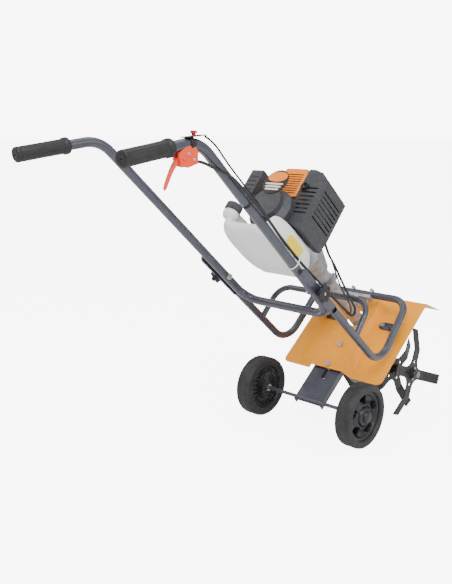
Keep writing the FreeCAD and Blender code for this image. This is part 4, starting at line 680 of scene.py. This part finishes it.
LEVER_PIN = np.array([0.1565, -0.60829, 0.75243])
LEVER_LINE = [(0, 2, 2), (0, -8, -2), (0, -18, -12), (0, -27, -26), (0, -35, -42), (0, -41, -55)]
EYE_FOOT, PIN_FOOT = LEVER_PIN - [0.0042, 0, 0], LEVER_PIN - [0.012, 0, 0]
EYE_PROFILE = [(0, 1), (0, 7.2), (0.6, 7.8), (7.8, 7.8), (8.4, 7.2), (8.4, 1)]
PIN_PROFILE = [(0, 0.5), (0, 2.6), (0.4, 3), (23.6, 3), (24, 2.6), (24, 0.5)]


def lever_blade():
    """Finger lever: a squared-off section carried down a bent line, thinning to its tip."""
    line = smooth_line(LEVER_PIN + MM * np.array(LEVER_LINE), resolution=8)
    t = np.linspace(0, 1, len(line))
    along = np.gradient(line, axis=0)
    along /= np.linalg.norm(along, axis=1)[:, None]
    flat = np.cross(along, [1.0, 0, 0])
    angle = all_round(28)
    wide = MM * (4.0 - 0.6 * t)[:, None] * squared_off(np.cos(angle), 0.5)
    thick = MM * (6.4 - 3.4 * t ** 0.7)[:, None] * squared_off(np.sin(angle), 0.6)
    tip = np.sqrt(np.clip(1 - ((t - 0.93) / 0.075).clip(0, 1) ** 2, 0.02, 1))[:, None]
    across = (wide * tip)[..., None] * np.array([1.0, 0, 0])
    return shell("lever_blade", line[:, None] + across + (thick * tip)[..., None] * flat[:, None])


eye = shell("lever_eye", turned(EYE_FOOT, (1, 0, 0), EYE_PROFILE, 48))
pin = shell("lever_pin", turned(PIN_FOOT, (1, 0, 0), PIN_PROFILE, 32))
settle(joined("finger_lever", [lever_blade(), eye, pin]), red_moulding, "throttle", "red_plastic",
       "throttle_lever")


# ---------------------------------------------------------------- labels and small fittings

def engine_patch(name, at, u_low, u_high, v_low, v_high, round_off, axis="x", thick=0.5):
    """A label with rounded corners, in the engine's millimetres: a superellipse disc of points round its
    middle. With axis x it lies at that distance across and faces right; with axis s it lies at that distance
    down the drive line and faces back up it. A larger round_off gives squarer corners."""
    angle = all_round(72)
    power = 2 / round_off
    u = squared_off(np.cos(angle), power) * (u_high - u_low) / 2
    v = squared_off(np.sin(angle), power) * (v_high - v_low) / 2
    scale = np.array([0.02, 0.5, 0.97, 1.0, 1.0])[:, None]
    height = np.array([thick, thick, thick, thick * 0.7, -0.3])[:, None]
    a, b = (u_low + u_high) / 2 + u * scale, (v_low + v_high) / 2 + v * scale
    flat = np.broadcast_to(at + height if axis == "x" else at - height, a.shape)
    order = [flat, a, b] if axis == "x" else [a, flat, b]
    return shell(name, on_engine(np.stack(order, -1)))


STARTER_FACE, STARTER_RAISED = -94.0, -95.4
FILTER_FACE, TANK_SIDE = -77.4, 95
OUTLET_FOOT = on_engine((52, -46, 86))
OUTLET_PROFILE = [(0, 10), (8, 10), (9.5, 9.6), (10, 8.6), (9.5, 7.4), (3, 7), (3, 1)]
# Cover screws stand at places on the engine; housing screws stand off the lever's pin, in metres.
COVER_SCREWS = ((-30, -79, 18), (30, -79, 18), (48, -49, 22))
COVER_SCREW_PROFILE = [(-2, 4), (2.2, 4), (3.0, 3.4), (3.2, 2.4), (1.6, 2.0), (1.6, 0.4)]
HOUSING_SCREWS = ((0.0098, 0.012, 0.010), (0.0098, 0.026, -0.001))
HOUSING_SCREW_PROFILE = [(-2, 2.8), (0.9, 2.8), (1.5, 2.3), (1.7, 1.7), (0.9, 1.4), (0.9, 0.3)]
SCREW_STEPS = 24

settle(engine_patch("starter_rim", STARTER_FACE, -36, 36, 26, 98, 2, "s", 1.6), black_moulding, "machine",
       "black_plastic")
settle(engine_patch("starter_badge", STARTER_RAISED, -29, 29, 62, 92, 2.2, "s", 1.2), orange_moulding,
       "machine", "orange_plastic")
for strip in range(3):
    edge, low = 27 - 3 * strip, 53 - 8 * strip
    stripe = engine_patch(f"starter_stripe_{strip}", STARTER_RAISED, -edge, edge, low, low + 5, 6, "s", 1.0)
    settle(stripe, label_cream, "machine", "orange_plastic")
# Four thin black patches on the air filter's face: painted shade standing in for the dark inside of its open
# slots.
for row in range(4):
    low = 46 + 13 * row
    slot = engine_patch(f"filter_slot_painted_shade_{row}", FILTER_FACE, -108, -80, low, low + 4.5, 5, "s", 0.9)
    settle(slot, black_moulding, "machine", "black_plastic")
settle(shell("outlet_ring", turned(OUTLET_FOOT, UP_ENGINE, OUTLET_PROFILE, 48)), black_moulding, "machine",
       "black_plastic")
for count, place in enumerate(COVER_SCREWS):
    screw = turned(on_engine(place), UP_ENGINE, COVER_SCREW_PROFILE, SCREW_STEPS)
    settle(shell(f"cover_screw_{count}", screw), zinc, "machine", "bright_steel")
for count, offset in enumerate(HOUSING_SCREWS):
    screw = turned(LEVER_PIN + offset, (1, 0, 0), HOUSING_SCREW_PROFILE, SCREW_STEPS)
    settle(shell(f"housing_screw_{count}", screw), zinc, "handle", "bright_steel")

# Tie sizes in millimetres: the loop's half width, half height and rise off the arm, its strap, its block.
TIE_HALF_WIDTH, TIE_HALF_HEIGHT, TIE_RISE = 12.6, 17.8, 5.5
STRAP_HALF_THICK, STRAP_HALF_WIDTH = 0.7, 1.9
BLOCK_SHIFT, BLOCK_HALF_WIDTH, BLOCK_HALF_LENGTH, BLOCK_RISE, BLOCK_HALF_HEIGHT = -8, 3.0, 2.6, 19.5, 2.2


def cord_tie(name, reach, x):
    """Tie: a flat oval loop round the arm and the two cords on it, with a small block at its top."""
    t, a = all_round(72), all_round(12)
    out = np.stack([np.cos(t), np.zeros_like(t), np.sin(t)], -1)
    height = TIE_RISE + TIE_HALF_HEIGHT * np.sin(t)
    line = np.stack([x + TIE_HALF_WIDTH * np.cos(t), np.full_like(t, reach), height], -1)
    thick = STRAP_HALF_THICK * np.cos(a)[None, :, None] * out[:, None]
    wide = STRAP_HALF_WIDTH * np.sin(a)[None, :, None] * np.array([0, 1, 0])
    loop = shell(name + "_loop", on_handle(line[:, None] + thick + wide), wrap_rows=True)
    u = np.linspace(-1, 1, 9)[:, None]
    across = x + BLOCK_SHIFT + BLOCK_HALF_WIDTH * squared_off(np.cos(a), 0.5)
    along = reach + BLOCK_HALF_LENGTH * squared_off(np.sin(a), 0.5)
    block = np.stack(np.broadcast_arrays(across, along, BLOCK_RISE + BLOCK_HALF_HEIGHT * u), -1)
    return joined(name, [loop, shell(name + "_block", on_handle(block))])


settle(cord_tie("arm_tie", 112, 144.8), white_nylon, "handle", "black_plastic")
settle(cord_tie("upper_tie", 330, 151.4), black_moulding, "handle", "black_plastic")
settle(engine_patch("tank_label", TANK_SIDE, -62, 2, -84, -58, 8), label_yellow, "machine", "orange_plastic")

# ---------------------------------------------------------------- floor and light

FLOOR_REACH = 60.0
FLOOR_GLOW = 6.6  # what the camera alone sees, so the floor shows brighter than it lights the object
SKY_LIGHT, SKY_SHOWN = 0.7, 8.0  # what lights the object, and what the camera sees
LAMPS = (
    ("key", (1.6, -1.9, 2.8), (0, 0, 0.4), 1.6, 84), ("fill", (2.6, 0.6, 1.5), (0, 0, 0.4), 2.0, 24),
    ("left", (-2.4, -1.2, 2.0), (0, 0, 0.4), 2.0, 24), ("top", (0.0, 0.3, 3.4), (0, 0, 0.3), 2.6, 30))


def studio_floor():
    """A pale flat floor that glows for camera rays only."""
    material = finish("studio_floor", srgb(247, 247, 248), srgb(250, 250, 250), (0.6, 0.7), 3, 0.0, 0.0001,
                      0.0)
    tree = material.node_tree
    shader = tree.nodes["Principled BSDF"]
    shader.inputs["Emission Color"].default_value = (1, 1, 1, 1)
    seen = tree.nodes.new("ShaderNodeLightPath")
    glow = tree.nodes.new("ShaderNodeMath")
    glow.operation = "MULTIPLY"
    glow.inputs[1].default_value = FLOOR_GLOW
    tree.links.new(seen.outputs["Is Camera Ray"], glow.inputs[0])
    tree.links.new(glow.outputs[0], shader.inputs["Emission Strength"])
    mesh = bpy.data.meshes.new("floor")
    corners = [(-1, -1, 0), (1, -1, 0), (1, 1, 0), (-1, 1, 0)]
    mesh.from_pydata((FLOOR_REACH * np.array(corners)).tolist(), [], [(0, 1, 2, 3)])
    mesh.materials.append(material)
    thing = bpy.data.objects.new("floor", mesh)
    bpy.context.scene.collection.objects.link(thing)


def studio_sky():
    """A white sky, stronger for camera rays than for the light it gives."""
    sky = bpy.data.worlds.new("studio_sky")
    sky.use_nodes = True
    backdrop = sky.node_tree.nodes["Background"]
    backdrop.inputs["Color"].default_value = (1.0, 1.0, 1.0, 1)
    seen = sky.node_tree.nodes.new("ShaderNodeLightPath")
    strength = sky.node_tree.nodes.new("ShaderNodeMapRange")
    strength.inputs["To Min"].default_value = SKY_LIGHT
    strength.inputs["To Max"].default_value = SKY_SHOWN
    sky.node_tree.links.new(seen.outputs["Is Camera Ray"], strength.inputs["Value"])
    sky.node_tree.links.new(strength.outputs[0], backdrop.inputs["Strength"])
    bpy.context.scene.world = sky


studio_floor()
studio_sky()
for label, place, aim, size, power in LAMPS:
    lamp = bpy.data.lights.new(label, "AREA")
    lamp.size = size
    lamp.energy = power
    holder = bpy.data.objects.new(label, lamp)
    holder.matrix_world = aimed(place, Vector(aim) - Vector(place))
    bpy.context.scene.collection.objects.link(holder)
